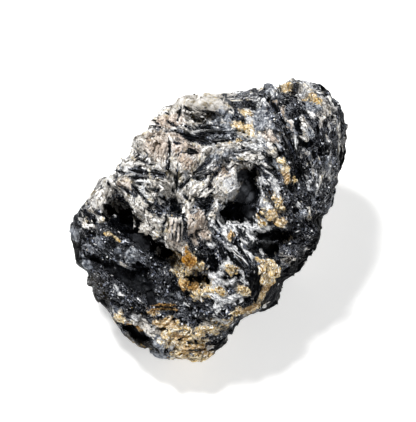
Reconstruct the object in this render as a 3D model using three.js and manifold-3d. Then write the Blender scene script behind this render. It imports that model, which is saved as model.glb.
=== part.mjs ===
// A hand specimen of massive schorl, the black tourmaline, grown through feldspar and stained with limonite.
// It is one lump of rock: fine black schorl with a cream feldspar slab across its show face, open hollows,
// a lower terrace under the slab's overhanging lip, ochre crusts and columnar schorl crystals.
//
// Units are millimetres and +Z is up. The origin is level with the flat that the lump rests on, below the
// middle of its box. +X runs along the lump's long way.
//
// The relief is laid out in the show face's own frame: a is across the face, b is up the face and c is out
// of the face. The lump is a scalar field in that frame, negative inside, which is meshed on a grid.

import * as THREE from "three";
import { ConvexGeometry } from "three/addons/geometries/ConvexGeometry.js";
import { ImprovedNoise } from "three/addons/math/ImprovedNoise.js";
import { mergeVertices } from "three/addons/utils/BufferGeometryUtils.js";
import Module from "manifold-3d";

const wasm = await Module();
wasm.setup();

// ---------------------------------------------------------------------------------------------------------
// Driving dimensions
// ---------------------------------------------------------------------------------------------------------

const FACE_LEAN = THREE.MathUtils.degToRad(25); // the show face leans back this far from level
const FACE_TURN = THREE.MathUtils.degToRad(-55); // turns the lump's long way onto X
const FACE_MIDDLE = [-2.25, -1.24, 24]; // where the show face frame's middle is in the part's frame

const FACE_SWELL = 17; // how far the show face stands out over the rim
const REST_MARGIN = 1.08; // the underside would reach this much deeper, if the resting flat didn't end it
const SQUARENESS = 2.5; // exponent of the section: 2 is an ellipse, more is boxier

// Roughness of the rock: long waves, broad ledges and small chips, and the same where it broke along planes.
const WAVES = { size: 12, rise: 1.2 };
const LEDGES = { size: 11, slope: 0.85 };
const CHIPS = { size: 5.6, slope: 0.75 };
const BREAK_WAVES = { size: 9, rise: 0.8 };
const BREAK_LEDGES = { size: 7.5, slope: 0.7 };
const RIM_DRIFT = { size: 19, rise: 2.6 }; // the rim's wander in and out of the face's plane

const GRID = 2.52; // spacing of the grid that the lump is meshed on
const CHORD_LOSS = 0.1; // what that grid would cut off a round surface

// The rim of the lump, seen square to the show face, counter-clockwise from the right: [a, b].
const RIM = [
  [28.4, 0.2], [30.4, 1.6], [31.2, 3.6], [31.7, 6.4], [32.2, 9.4], [33, 12.8], [34.1, 14.8],
  [34.7, 18.4], [33.9, 23], [32, 27.3], [29.8, 30.2], [25.6, 33], [22.8, 34.2], [20.2, 34.1],
  [18, 32.4], [16.2, 32.1], [14.6, 33.1], [12.8, 31.8], [7.6, 31], [3.6, 30.5], [-2.4, 30.8],
  [-6.6, 30.4], [-8.4, 29], [-10.4, 27.3], [-12.8, 26.9], [-14.2, 25.4], [-15.2, 23], [-17.2, 20.5],
  [-19.3, 19], [-19.7, 16], [-22.2, 14], [-22.6, 12.4], [-24.8, 10.3], [-28, 9.3], [-29.4, 7.6],
  [-29.8, 4.4], [-32, 2.2], [-34.2, -0.6], [-35, -4.2], [-33.9, -7.6], [-32.8, -10], [-33.6, -11.8],
  [-31.9, -13.9], [-30, -16.6], [-28.9, -20.6], [-25.4, -23.6], [-23.2, -27], [-21.8, -29.4],
  [-17.8, -32.5], [-15.2, -33.4], [-13.6, -35.6], [-9.4, -36], [-5.6, -36], [-3.4, -37], [0.4, -35.1],
  [3.2, -32.8], [5.2, -29.8], [7, -26.4], [10.2, -23.6], [13.4, -20.9], [17.2, -17.2], [19.6, -15.6],
  [21.4, -14.7], [23, -12.6], [25.4, -10], [27.6, -6.8], [28, -4.4], [27.6, -1.6],
];

// The lower terrace, left of and below the slab's overhanging lip: a closed outline, [a, b].
const TERRACE = [
  [-45, 4], [-30, 3.4], [-26.2, 6.6], [-22.4, 6.4], [-19, 2.8], [-17.6, -1.6], [-15.4, -5.2],
  [-12, -6.2], [-9.6, -8.2], [-6.8, -9.4], [-7, -13], [-8, -17], [-6.6, -21], [-2, -24.6], [4, -27.4],
  [8, -31], [12, -50], [-45, -50],
];
const TERRACE_DROP = 6.6;
const LIP_WIDTH = 1.6; // how far the drop takes at the lip

// Broad swells and dips of the show face: centre [a, b], radii, turn in degrees, rise.
const SWELLS = [
  { at: [22, 17], radii: [15, 20], turn: 20, rise: 3.6 }, // the black dome at the upper right
  { at: [-0.5, 28], radii: [6.6, 3], turn: 2, rise: 3.4 }, // the pale feldspar block on the top edge
  { at: [-5, 24], radii: [4.4, 2], turn: -12, rise: -2.6 }, // the shaded recess under that block
  { at: [-9, 12], radii: [11, 8], turn: 30, rise: 1.6 }, // the feldspar slab
  { at: [-14, -1.6], radii: [4.6, 3.6], turn: -30, rise: 2 }, // the slab's lip by the cave
  { at: [-8.6, -3.4], radii: [3.4, 4.2], turn: -20, rise: 1.8 },
  { at: [4.4, 7.4], radii: [3.2, 3.4], turn: -20, rise: 2.4 }, // the white feldspar knob
  { at: [17.4, 1.4], radii: [3.2, 5.6], turn: 12, rise: 2 }, // the honey crust beside the hollow
  { at: [9, -13], radii: [8, 6], turn: 30, rise: 1.6 }, // the lower right of the slab
  { at: [15.4, -14.4], radii: [2.4, 4.4], turn: -12, rise: 1.8 }, // its ochre shoulder
  { at: [-25, -9], radii: [9, 2.6], turn: -28, rise: 2.4 }, // the terrace's upper ridge
  { at: [-11, -15.5], radii: [4.6, 4.4], turn: -20, rise: 2.6 },
  { at: [-19, -15.5], radii: [8.4, 1.9], turn: -42, rise: -2.6 }, // the flat-bottomed trough across it
  { at: [-23, -17.6], radii: [8, 2.2], turn: -38, rise: 1.6 }, // the terrace's lower ridge
  { at: [-2, -29], radii: [7.6, 3.6], turn: 8, rise: 2.6 }, // the ochre crust at the foot
  { at: [-8.6, -26.4], radii: [4.6, 1.2], turn: 6, rise: -1.6 },
];

// Round lumps that stand out, each fused in: centre [a, b], depth of the centre under the surface, radii.
const LUMPS = [
  { at: [-5.6, -10.4], sunk: 0.6, radii: [2.4, 2.1, 2.2] }, // orange limonite knobs
  { at: [-3.2, -13.4], sunk: 0.8, radii: [3, 2.2, 2.4] },
  { at: [-3.4, -19.6], sunk: 1, radii: [2, 1.8, 1.8] },
  { at: [-3.4, -34], sunk: 1.2, radii: [3.8, 2.6, 2.6] },
  { at: [-9.6, -31.4], sunk: 1.2, radii: [3.2, 2.6, 2.4] },
  { at: [-14.2, -31], sunk: 1.2, radii: [3.2, 3.4, 2.6] }, // the grey quartz lump
  { at: [14.6, 31.4], sunk: 1, radii: [2, 1.8, 2] },
  { at: [-21.4, 13.4], sunk: 0.6, radii: [1.4, 1.4, 1.4] },
];

// Open hollows: a round-ended cut from one point to the other, [a, b, depth under the surface], and a radius.
const HOLLOWS = [
  { from: [8.6, 9, 0.5], to: [8.8, 4.6, 1.5], radius: 3.7 }, // the black pocket in the middle
  { from: [4.4, -0.8, 2.6], to: [10.6, 0.2, 2], radius: 2.5 },
  { from: [12.4, -5.8, 0.8], to: [18.6, -6.8, 1], radius: 1.7 },
  { from: [12.6, -8.6, 0.8], to: [17, -9.8, 0.8], radius: 1.3 },
  { from: [-23.4, 2.6, 0.4], to: [-19.6, -1.4, 5], radius: 3.1 }, // the cave under the lip
  { from: [-17.6, -4.4, 1.6], to: [-12.4, -8.2, 1.6], radius: 1.7 }, // the undercut along the lip
  { from: [-12.4, -8.4, 1.4], to: [-7.4, -10.8, 1.6], radius: 1.5 },
  { from: [-20.4, -28, 0.8], to: [-15.8, -31, 1], radius: 1.6 }, // the slot at the foot
  { from: [-4.2, -16.8, 1.2], to: [-1.6, -17.2, 1], radius: 1.4 },
  { from: [-2.4, -22.4, 0.4], to: [2.4, -21.8, 0.4], radius: 1.3 },
];

// Long shallow grooves, as corners [a, b] of each, with a radius.
const GROOVES = [
  { path: [[15.2, 28], [17.6, 22], [20.4, 15.6], [24, 8], [25, 2]], radius: 1.1 },
  { path: [[-9.2, 21.6], [-2, 19.6], [5, 17.4]], radius: 0.9 },
  { path: [[-13, -22.6], [-7.4, -23.2]], radius: 0.9 },
];

// The dark lobe that stands out low down behind the slab's lower right edge, and a step on the right.
const LOBES = [
  { at: [12.4, -17.4, -9], radii: [6, 6.6, 7.5] },
  { at: [20, -8, -9], radii: [6, 7.4, 10] },
];

// Fracture planes that square off the sides and the back: outward [a, b, c], and distance from the middle.
const FRACTURES = [
  { out: [-0.1, 0.76, -0.65], far: 30.5 },
  { out: [0.6, 0.4, -0.69], far: 32 },
  { out: [-0.66, 0.36, -0.66], far: 26 },
  { out: [0.8, -0.2, -0.56], far: 26 },
  { out: [-0.72, -0.3, -0.63], far: 30.5 },
  { out: [0.1, -0.8, -0.6], far: 31.5 },
  { out: [-0.5, 0.6, 0.62], far: 26.8 },
  { out: [0.36, 0.66, 0.66], far: 38 },
  { out: [0.74, 0.1, 0.66], far: 35 },
];

// Schorl columns that show on the face: ends [a, b], width.
const COLUMNS = [
  { from: [-9.6, 0.2], to: [-12.4, -5.4], width: 1.6 },
  { from: [-10.2, 18.6], to: [-9.8, 10.4], width: 1.6 },
  { from: [-8.4, 26.6], to: [-9, 22.4], width: 1.4 },
  { from: [11.2, -12.2], to: [10, -20], width: 2.6 },
  { from: [13.2, -12.6], to: [12, -18.8], width: 2 },
  { from: [-5, 6.6], to: [0.6, 14.8], width: 2.4 },
  { from: [-2.6, 6], to: [2, 12.4], width: 2 },
  { from: [-20, 12.2], to: [-12.4, 9.4], width: 2.2 },
  { from: [-30.4, 1.6], to: [-25, -1.6], width: 2 },
  { from: [-29.4, -1], to: [-25.8, -4.6], width: 1.8 },
  { from: [6.2, 13.6], to: [14.6, 11.4], width: 2 },
  { from: [1.6, -4.6], to: [5.6, -9.8], width: 1.6 },
  { from: [21.6, 26.4], to: [26.4, 16.4], width: 2.6 },
  { from: [24, 27.6], to: [29, 18.6], width: 2.6 },
  { from: [-26, -7], to: [-20.4, -11], width: 2.6 },
  { from: [-12.6, -12], to: [-9.8, -20], width: 2.6 },
];
const COLUMN_SHOWS = 0.2; // share of a column's width that stands out of the rock

// Feldspar cleavage blocks on the face: centre [a, b], size, turn about the face's normal in degrees.
const BLOCKS = [
  { at: [-0.8, 27.4], size: [11.4, 5, 5], turn: -4 },
  { at: [4.4, 7.8], size: [4.6, 5, 3], turn: 25 },
  { at: [-3, 5.4], size: [5.4, 2.6, 2.4], turn: 32 },
  { at: [-11, 8], size: [6.8, 3.2, 2.2], turn: 12 },
  { at: [-8.4, -4.2], size: [3.6, 6, 2.8], turn: -22 },
  { at: [-14.6, -2.2], size: [5, 3.4, 2.6], turn: 35 },
  { at: [-12.6, 16], size: [5.6, 5, 2.4], turn: 50 },
  { at: [-31, -1.6], size: [5.4, 2, 2.4], turn: -38 },
  { at: [-27, 4.6], size: [3.4, 4.6, 2.6], turn: 10 },
  { at: [-13, -30.6], size: [4.4, 4.4, 3], turn: 20 },
];
const BLOCK_SHOWS = 0.3; // share of a block's thickness that stands out of the rock

// Sheaves of columns over the sides and the back, side by side and nearly flush.
const SHEAVES = 12;
const SHEAF_SIZE = 3;
const SHEAF_SHOWS = 0.12; // share of a column's width that stands out of the rock
const SHEAF_SEED = 7;

// ---------------------------------------------------------------------------------------------------------
// Small tools
// ---------------------------------------------------------------------------------------------------------

const clamp01 = (x) => Math.min(1, Math.max(0, x));

function smoothStep(from, to, x) {
  const t = clamp01((x - from) / (to - from));
  return t * t * (3 - 2 * t);
}

// The lower, or higher, of two fields, with the seam between them rounded over k millimetres.
function softMin(x, y, k) {
  const h = clamp01(0.5 + (y - x) / (2 * k));
  return y + (x - y) * h - k * h * (1 - h);
}
const softMax = (x, y, k) => -softMin(-x, -y, k);

function makeRandom(seed) {
  let state = seed >>> 0;
  return () => {
    state = (Math.imul(state, 1664525) + 1013904223) >>> 0;
    return state / 4294967296;
  };
}

// A repeatable number from 0 to 1 for each corner of a lattice.
function cornerNumber(i, j, k, salt) {
  const s = Math.sin(i * 127.1 + j * 311.7 + k * 74.7 + salt * 53.3) * 43758.5453;
  return s - Math.floor(s);
}

function segmentDistance(p, from, to) {
  const along = to.clone().sub(from);
  const t = clamp01(p.clone().sub(from).dot(along) / along.lengthSq());
  return p.distanceTo(from.clone().addScaledVector(along, t));
}

function outlineDistance(a, b, outline) {
  let nearest = Infinity;
  let inside = false;
  outline.forEach(([a1, b1], i) => {
    const [a0, b0] = outline[(i + outline.length - 1) % outline.length];
    const t = clamp01(((a - a0) * (a1 - a0) + (b - b0) * (b1 - b0)) / ((a1 - a0) ** 2 + (b1 - b0) ** 2));
    nearest = Math.min(nearest, Math.hypot(a - a0 - t * (a1 - a0), b - b0 - t * (b1 - b0)));
    const crosses = b0 > b !== b1 > b && a < a0 + ((b - b0) * (a1 - a0)) / (b1 - b0);
    if (crosses) inside = !inside;
  });
  return inside ? nearest : -nearest;
}

// ---------------------------------------------------------------------------------------------------------
// The lump as a field
// ---------------------------------------------------------------------------------------------------------

// How far the rim is from the middle, for each of many bearings, and the same without its small steps.
const BEARINGS = 720;
const RIM_BLUR = 22; // bearings to each side
const RIM_FADE = 9; // depth at which the small steps of the rim have faded out
const rimReach = Array.from({ length: BEARINGS }, (_, i) => {
  const turn = (i / BEARINGS) * 2 * Math.PI;
  const [da, db] = [Math.cos(turn), Math.sin(turn)];
  let reach = 0;
  RIM.forEach(([a1, b1], j) => {
    const [a0, b0] = RIM[(j + RIM.length - 1) % RIM.length];
    const cross = da * (b1 - b0) - db * (a1 - a0);
    const far = (a0 * (b1 - b0) - b0 * (a1 - a0)) / cross;
    const share = (a0 * db - b0 * da) / cross;
    if (share >= 0 && share <= 1 && far > reach) reach = far;
  });
  return reach;
});

const softReach = rimReach.map((_, i) => {
  let sum = 0;
  for (let j = -RIM_BLUR; j <= RIM_BLUR; j++) sum += rimReach[(i + j + BEARINGS) % BEARINGS];
  return sum / (2 * RIM_BLUR + 1);
});

function rimAt(a, b, depth) {
  const place = ((Math.atan2(b, a) / (2 * Math.PI) + 1) % 1) * BEARINGS;
  const i = Math.floor(place);
  const j = (i + 1) % BEARINGS;
  const [reach, soft] = [rimReach, softReach].map((list) => list[i] + (list[j] - list[i]) * (place - i));
  return reach + (soft - reach) * smoothStep(0, RIM_FADE, depth);
}

// Rise of a broad swell at a point of the face: full in the middle, none past its radii.
function swellRise(a, b, { at, radii, turn, rise }) {
  const angle = THREE.MathUtils.degToRad(turn);
  const [da, db] = [a - at[0], b - at[1]];
  const along = (da * Math.cos(angle) + db * Math.sin(angle)) / radii[0];
  const over = (db * Math.cos(angle) - da * Math.sin(angle)) / radii[1];
  return rise * (1 - smoothStep(0.35, 1.15, Math.hypot(along, over)));
}

function faceHeight(a, b) {
  const swells = SWELLS.reduce((sum, swell) => sum + swellRise(a, b, swell), 0);
  const dropped = smoothStep(-LIP_WIDTH / 2, LIP_WIDTH / 2, outlineDistance(a, b, TERRACE));
  return FACE_SWELL + swells - TERRACE_DROP * dropped;
}

// How deep under the rim the resting flat lies, measured square to the face.
const restDepth = (b) => (FACE_MIDDLE[2] + b * Math.sin(FACE_LEAN)) / Math.cos(FACE_LEAN);

const noise = new ImprovedNoise();

function waves(p, { size, rise }, salt) {
  return rise * noise.noise(p.x / size + salt, p.y / size - salt, p.z / size + 2 * salt);
}

// Broken rock: each cell of a jittered lattice is a flat facet with a tilt of its own.
function facets(p, { size, slope }, salt) {
  const [ci, cj, ck] = [p.x, p.y, p.z].map((x) => Math.floor(x / size));
  let nearest = Infinity;
  let lift = 0;
  for (let i = ci - 1; i <= ci + 1; i++)
    for (let j = cj - 1; j <= cj + 1; j++)
      for (let k = ck - 1; k <= ck + 1; k++) {
        const [da, db, dc] = [i, j, k].map(
          (cell, axis) => (cell + cornerNumber(i, j, k, salt + axis)) * size - p.getComponent(axis),
        );
        const far = da * da + db * db + dc * dc;
        if (far >= nearest) continue;
        nearest = far;
        const tilt = [3, 4, 5].map((axis) => cornerNumber(i, j, k, salt + axis) - 0.5);
        lift = slope * (da * tilt[0] + db * tilt[1] + dc * tilt[2]);
      }
  return lift;
}

// The bare lump, before hollows and lumps. It is roughest away from the rim, which keeps its outline.
function bodyField(p) {
  const depth = p.z - waves(new THREE.Vector3(p.x, p.y, 0), RIM_DRIFT, 3.3);
  const reach = depth > 0 ? faceHeight(p.x, p.y) : REST_MARGIN * restDepth(p.y);
  const across = Math.hypot(p.x, p.y) / rimAt(p.x, p.y, Math.abs(depth));
  const level = Math.abs(depth) / Math.max(reach, 4);
  const scale = (across ** SQUARENESS + level ** SQUARENESS) ** (1 / SQUARENESS);
  const far = p.length() * (1 - 1 / Math.max(scale, 0.05));
  const offRim = 0.25 + (depth > 0 ? 0.55 : 0.75) * smoothStep(0.05, 0.4, level);
  const rough = waves(p, WAVES, 0.7) + facets(p, LEDGES, 1) + facets(p, CHIPS, 5);
  return far - rough * offRim - CHORD_LOSS;
}

const SEAM = { fracture: 0.9, lobe: 1.2, lump: 0.5, hollow: 0.5 }; // rounding where one form meets the next
const fractures = FRACTURES.map(({ out, far }) => ({ out: new THREE.Vector3(...out).normalize(), far }));

function ellipsoidField(p, centre, radii) {
  const scaled = new THREE.Vector3().subVectors(p, centre).divide(radii);
  return (scaled.length() - 1) * Math.min(radii.x, radii.y, radii.z);
}

const rockField = (p) => {
  let field = bodyField(p);
  for (const { out, far } of fractures) {
    const rough = waves(p, BREAK_WAVES, 1.9) + facets(p, BREAK_LEDGES, 9);
    field = softMax(field, p.dot(out) - far - rough, SEAM.fracture);
  }
  for (const { at, radii } of LOBES) {
    const lobe = ellipsoidField(p, new THREE.Vector3(...at), new THREE.Vector3(...radii));
    field = softMin(field, lobe - waves(p, BREAK_WAVES, 2.2), SEAM.lobe);
  }
  return field;
};

// Height of the surface over [a, b], found by coming in from outside.
function surfaceDepth(a, b, field) {
  const p = new THREE.Vector3(a, b, 30);
  for (let i = 0; i < 200 && field(p) > 0; i++) p.z -= 0.25;
  return p.z;
}

const lumps = LUMPS.map(({ at, sunk, radii }) => ({
  centre: new THREE.Vector3(...at, surfaceDepth(...at, rockField) - sunk),
  radii: new THREE.Vector3(...radii),
}));

const underSurface = ([a, b, deep]) => new THREE.Vector3(a, b, surfaceDepth(a, b, rockField) - deep);

const hollows = HOLLOWS.map(({ from, to, radius }) => {
  return { start: underSurface(from), end: underSurface(to), radius };
});

const grooves = GROOVES.flatMap(({ path, radius }) => {
  const points = path.map(([a, b]) => underSurface([a, b, -0.2]));
  return points.slice(1).map((end, i) => ({ start: points[i], end, radius }));
});

function lumpField(p) {
  let field = rockField(p);
  for (const { centre, radii } of lumps) {
    field = softMin(field, ellipsoidField(p, centre, radii), SEAM.lump);
  }
  for (const { start, end, radius } of [...hollows, ...grooves]) {
    field = softMax(field, radius - segmentDistance(p, start, end), SEAM.hollow);
  }
  return field;
}

// ---------------------------------------------------------------------------------------------------------
// Meshing the field: one vertex in each grid cell the surface crosses, joined across the crossed edges
// ---------------------------------------------------------------------------------------------------------

const LOW = new THREE.Vector3(-40, -42, -52);
const HIGH = new THREE.Vector3(40, 40, 30);

const CELL_CORNERS = [0, 1, 2, 3, 4, 5, 6, 7].map((n) => [n & 1, (n >> 1) & 1, (n >> 2) & 1]);
const CELL_EDGES = CELL_CORNERS.flatMap((_, m) => {
  return [1, 2, 4].filter((bit) => !(m & bit)).map((bit) => [m, m | bit]);
});

// Whether a cell's corners on one side of the surface hang together along the cell's edges.
function hangsTogether(chosen) {
  const start = chosen.indexOf(true);
  if (start < 0) return true;
  const reached = new Set([start]);
  for (const m of reached) {
    for (const bit of [1, 2, 4]) {
      if (chosen[m ^ bit]) reached.add(m ^ bit);
    }
  }
  return reached.size === chosen.filter(Boolean).length;
}

// Two sheets of the surface in one cell would share an edge, so such cells are filled until none is left.
function fillPinches(values, cells) {
  let filled = 1;
  while (filled > 0) {
    filled = 0;
    for (const corners of cells()) {
      const inside = corners.map((n) => values[n] < 0);
      if (hangsTogether(inside) && hangsTogether(inside.map((x) => !x))) continue;
      const outer = corners.filter((n) => values[n] >= 0);
      values[outer.reduce((best, n) => (values[n] < values[best] ? n : best))] = -0.1 * GRID;
      filled++;
    }
  }
}

function meshField(field) {
  const counts = new THREE.Vector3().subVectors(HIGH, LOW).divideScalar(GRID).ceil().toArray();
  const [nx, ny, nz] = counts.map((n) => n + 1);
  const index = (i, j, k) => i + nx * (j + ny * k);
  const values = new Float64Array(nx * ny * nz);
  const p = new THREE.Vector3();
  for (let k = 0; k < nz; k++)
    for (let j = 0; j < ny; j++)
      for (let i = 0; i < nx; i++) {
        p.set(i, j, k).multiplyScalar(GRID).add(LOW);
        values[index(i, j, k)] = field(p);
      }

  function* cells() {
    for (let k = 0; k < nz - 1; k++)
      for (let j = 0; j < ny - 1; j++)
        for (let i = 0; i < nx - 1; i++) yield CELL_CORNERS.map(([x, y, z]) => index(i + x, j + y, k + z));
  }
  fillPinches(values, cells);

  const positions = [];
  const vertexOf = new Map();
  for (const corners of cells()) {
    const at = corners.map((n) => values[n]);
    const sum = new THREE.Vector3();
    let crossings = 0;
    for (const [m, n] of CELL_EDGES) {
      if (at[m] < 0 === at[n] < 0) continue;
      const t = at[m] / (at[m] - at[n]);
      sum.add(new THREE.Vector3(...CELL_CORNERS[m]).lerp(new THREE.Vector3(...CELL_CORNERS[n]), t));
      crossings++;
    }
    if (!crossings) continue;
    const [i, j, k] = [corners[0] % nx, Math.floor(corners[0] / nx) % ny, Math.floor(corners[0] / nx / ny)];
    sum.divideScalar(crossings).add(new THREE.Vector3(i, j, k)).multiplyScalar(GRID).add(LOW);
    vertexOf.set(corners[0], positions.length / 3);
    positions.push(...sum.toArray());
  }

  const triangles = [];
  const steps = [[1, 0, 0], [0, 1, 0], [0, 0, 1]];
  for (let k = 1; k < nz - 1; k++)
    for (let j = 1; j < ny - 1; j++)
      for (let i = 1; i < nx - 1; i++)
        for (const axis of [0, 1, 2]) {
          const [dx, dy, dz] = steps[axis];
          const here = values[index(i, j, k)] < 0;
          if (here === values[index(i + dx, j + dy, k + dz)] < 0) continue;
          const u = steps[(axis + 1) % 3];
          const v = steps[(axis + 2) % 3];
          const ring = [[0, 0], [1, 0], [1, 1], [0, 1]].map(([s, t]) =>
            vertexOf.get(index(i - s * u[0] - t * v[0], j - s * u[1] - t * v[1], k - s * u[2] - t * v[2])),
          );
          if (!here) ring.reverse();
          triangles.push(ring[0], ring[1], ring[2], ring[0], ring[2], ring[3]);
        }
  return { positions, triangles };
}

// ---------------------------------------------------------------------------------------------------------
// Solids
// ---------------------------------------------------------------------------------------------------------

function solidOf(geometry) {
  geometry.deleteAttribute("normal");
  geometry.deleteAttribute("uv");
  const merged = mergeVertices(geometry, 1e-4);
  return new wasm.Manifold(
    new wasm.Mesh({
      numProp: 3,
      vertProperties: new Float32Array(merged.attributes.position.array),
      triVerts: new Uint32Array(merged.index.array),
    }),
  );
}

function lumpSolid() {
  const { positions, triangles } = meshField(lumpField);
  const geometry = new THREE.BufferGeometry();
  geometry.setAttribute("position", new THREE.Float32BufferAttribute(positions, 3));
  geometry.setIndex(triangles);
  return solidOf(geometry);
}

// A schorl column: a six-sided prism with a low point at one end, from start to end.
function columnSolid(start, end, width, spin) {
  const length = start.distanceTo(end);
  const tip = 0.35 * width;
  const profile = [[0, 0], [width / 2, 0], [width / 2, length - tip], [0, length]];
  const geometry = new THREE.LatheGeometry(profile.map(([x, y]) => new THREE.Vector2(x, y)), 6, spin);
  const along = new THREE.Vector3().subVectors(end, start).normalize();
  geometry.applyQuaternion(new THREE.Quaternion().setFromUnitVectors(new THREE.Vector3(0, 1, 0), along));
  geometry.translate(start.x, start.y, start.z);
  return solidOf(geometry);
}

const faceOut = new THREE.Vector3(0, 0, 1);

// A feldspar cleavage block: a box with its outer face drawn in and its corners knocked, sunk in the face.
function blockSolid({ at: [a, b], size: [long, wide, thick], turn }, i) {
  const random = makeRandom(i + 1);
  const points = [];
  for (const [x, y] of [[-1, -1], [1, -1], [1, 1], [-1, 1]]) {
    points.push(new THREE.Vector3((x * long) / 2, (y * wide) / 2, -thick / 2));
    const [inX, inY] = [0.98 - 0.22 * random(), 0.98 - 0.3 * random()];
    const height = thick * (0.5 - 0.22 * random());
    points.push(new THREE.Vector3((x * inX * long) / 2, (y * inY * wide) / 2, height));
    points.push(new THREE.Vector3((x * long) / 4, (y * inY * 1.02 * wide) / 2, height));
  }
  const geometry = new ConvexGeometry(points);
  const place = new THREE.Vector3(a, b, surfaceDepth(a, b, lumpField));
  const out = surfaceNormal(place, lumpField).add(faceOut).normalize();
  geometry.rotateZ(THREE.MathUtils.degToRad(turn));
  geometry.applyQuaternion(new THREE.Quaternion().setFromUnitVectors(faceOut, out));
  place.addScaledVector(out, (BLOCK_SHOWS - 0.5) * thick);
  geometry.translate(...place.toArray());
  return solidOf(geometry);
}

function surfaceNormal(p, field) {
  const step = 0.8;
  const rise = [0, 1, 2].map((axis) => {
    const [ahead, behind] = [step, -step].map((s) => p.clone().setComponent(axis, p.getComponent(axis) + s));
    return field(ahead) - field(behind);
  });
  return new THREE.Vector3(...rise).normalize();
}

function faceColumn({ from, to, width }, i) {
  const [start, end] = [from, to].map(([a, b]) => {
    const place = new THREE.Vector3(a, b, surfaceDepth(a, b, lumpField));
    return place.addScaledVector(surfaceNormal(place, lumpField), (COLUMN_SHOWS - 0.5) * width);
  });
  return columnSolid(start, end, width, i);
}

// Where a ray from the middle leaves the lump.
function surfaceAlong(out) {
  const p = out.clone().normalize().multiplyScalar(60);
  while (lumpField(p) > 0) p.addScaledVector(out, -0.25 / out.length());
  return p;
}

// Columns in sheaves over the sides and the back: each lies along the surface beside the last. One that would
// bridge a dip of the rock is left out.
function sheafColumns() {
  const random = makeRandom(SHEAF_SEED);
  const between = (low, high) => low + (high - low) * random();
  const made = [];
  for (let sheaf = 0; sheaf < SHEAVES; sheaf++) {
    const bearing = (sheaf / SHEAVES) * 2 * Math.PI + between(-0.15, 0.15);
    const out = new THREE.Vector3(Math.cos(bearing), Math.sin(bearing), between(-0.65, -0.1));
    const middle = surfaceAlong(out);
    const normal = surfaceNormal(middle, lumpField);
    const along = new THREE.Vector3(between(-1, 1), between(-1, 1), 1.4).cross(normal).normalize();
    const beside = new THREE.Vector3().crossVectors(along, normal);
    for (let i = 0; i < SHEAF_SIZE; i++) {
      const width = between(2, 3.4);
      const shift = (i - (SHEAF_SIZE - 1) / 2) * 2.3;
      const [start, end] = [-between(3.4, 6.4), between(3.4, 6.4)].map((far) => {
        const aside = shift + between(-0.5, 0.5);
        const place = surfaceAlong(middle.clone().addScaledVector(along, far).addScaledVector(beside, aside));
        return place.addScaledVector(normal, (SHEAF_SHOWS - 0.5) * width);
      });
      const bridged = [0.2, 0.4, 0.6, 0.8].some((t) => lumpField(start.clone().lerp(end, t)) > 0.2 * width);
      if (!bridged) made.push(columnSolid(start, end, width, made.length));
    }
  }
  return made;
}

// Turns a solid from the face's frame into the part's frame, and cuts it off level at the resting flat.
function seated(solid) {
  const lean = new THREE.Matrix4().makeRotationX(FACE_LEAN);
  const turn = new THREE.Matrix4().makeRotationZ(FACE_TURN);
  const place = new THREE.Matrix4().makeTranslation(...FACE_MIDDLE);
  const placed = solid.transform(place.multiply(turn).multiply(lean).toArray());
  const ground = new THREE.BoxGeometry(200, 200, 100);
  ground.translate(0, 0, -50);
  return placed.subtract(solidOf(ground));
}

// The largest body of a solid, without the crumbs that a cut can leave.
function largestBody(solid) {
  return solid.decompose().reduce((best, body) => (body.volume() > best.volume() ? body : best));
}

function geometryOf(solid) {
  const { numProp, numVert, vertProperties, triVerts } = solid.getMesh();
  const positions = new Float32Array(numVert * 3);
  for (let i = 0; i < numVert; i++) {
    positions.set(vertProperties.subarray(i * numProp, i * numProp + 3), i * 3);
  }
  const geometry = new THREE.BufferGeometry();
  geometry.setAttribute("position", new THREE.BufferAttribute(positions, 3));
  geometry.setIndex(new THREE.BufferAttribute(triVerts, 1));
  geometry.computeVertexNormals();
  return geometry;
}

// ---------------------------------------------------------------------------------------------------------
// The specimen
// ---------------------------------------------------------------------------------------------------------

const grown = [...COLUMNS.map(faceColumn), ...BLOCKS.map(blockSolid), ...sheafColumns()];
const fused = grown.reduce((rock, crystal) => rock.add(crystal), lumpSolid());

const blackRock = new THREE.MeshStandardMaterial({ color: 0x2b2a2c, roughness: 0.55, metalness: 0 });
const specimen = new THREE.Mesh(geometryOf(largestBody(seated(fused))), blackRock);
specimen.name = "schorl_specimen";

const group = new THREE.Group();
group.add(specimen);
export default group;
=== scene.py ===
# %% [markdown]
# # A lump of schorl in feldspar
# The real thing is a hand specimen: black schorl needles felted together with cream feldspar, dusted with sugary
# white albite and crusted with ochre limonite. The CAD solid gives its size, its flat and its main forms. Here it
# gets a fine broken surface, its minerals, and the thousands of small crystals that make it glitter.

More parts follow.
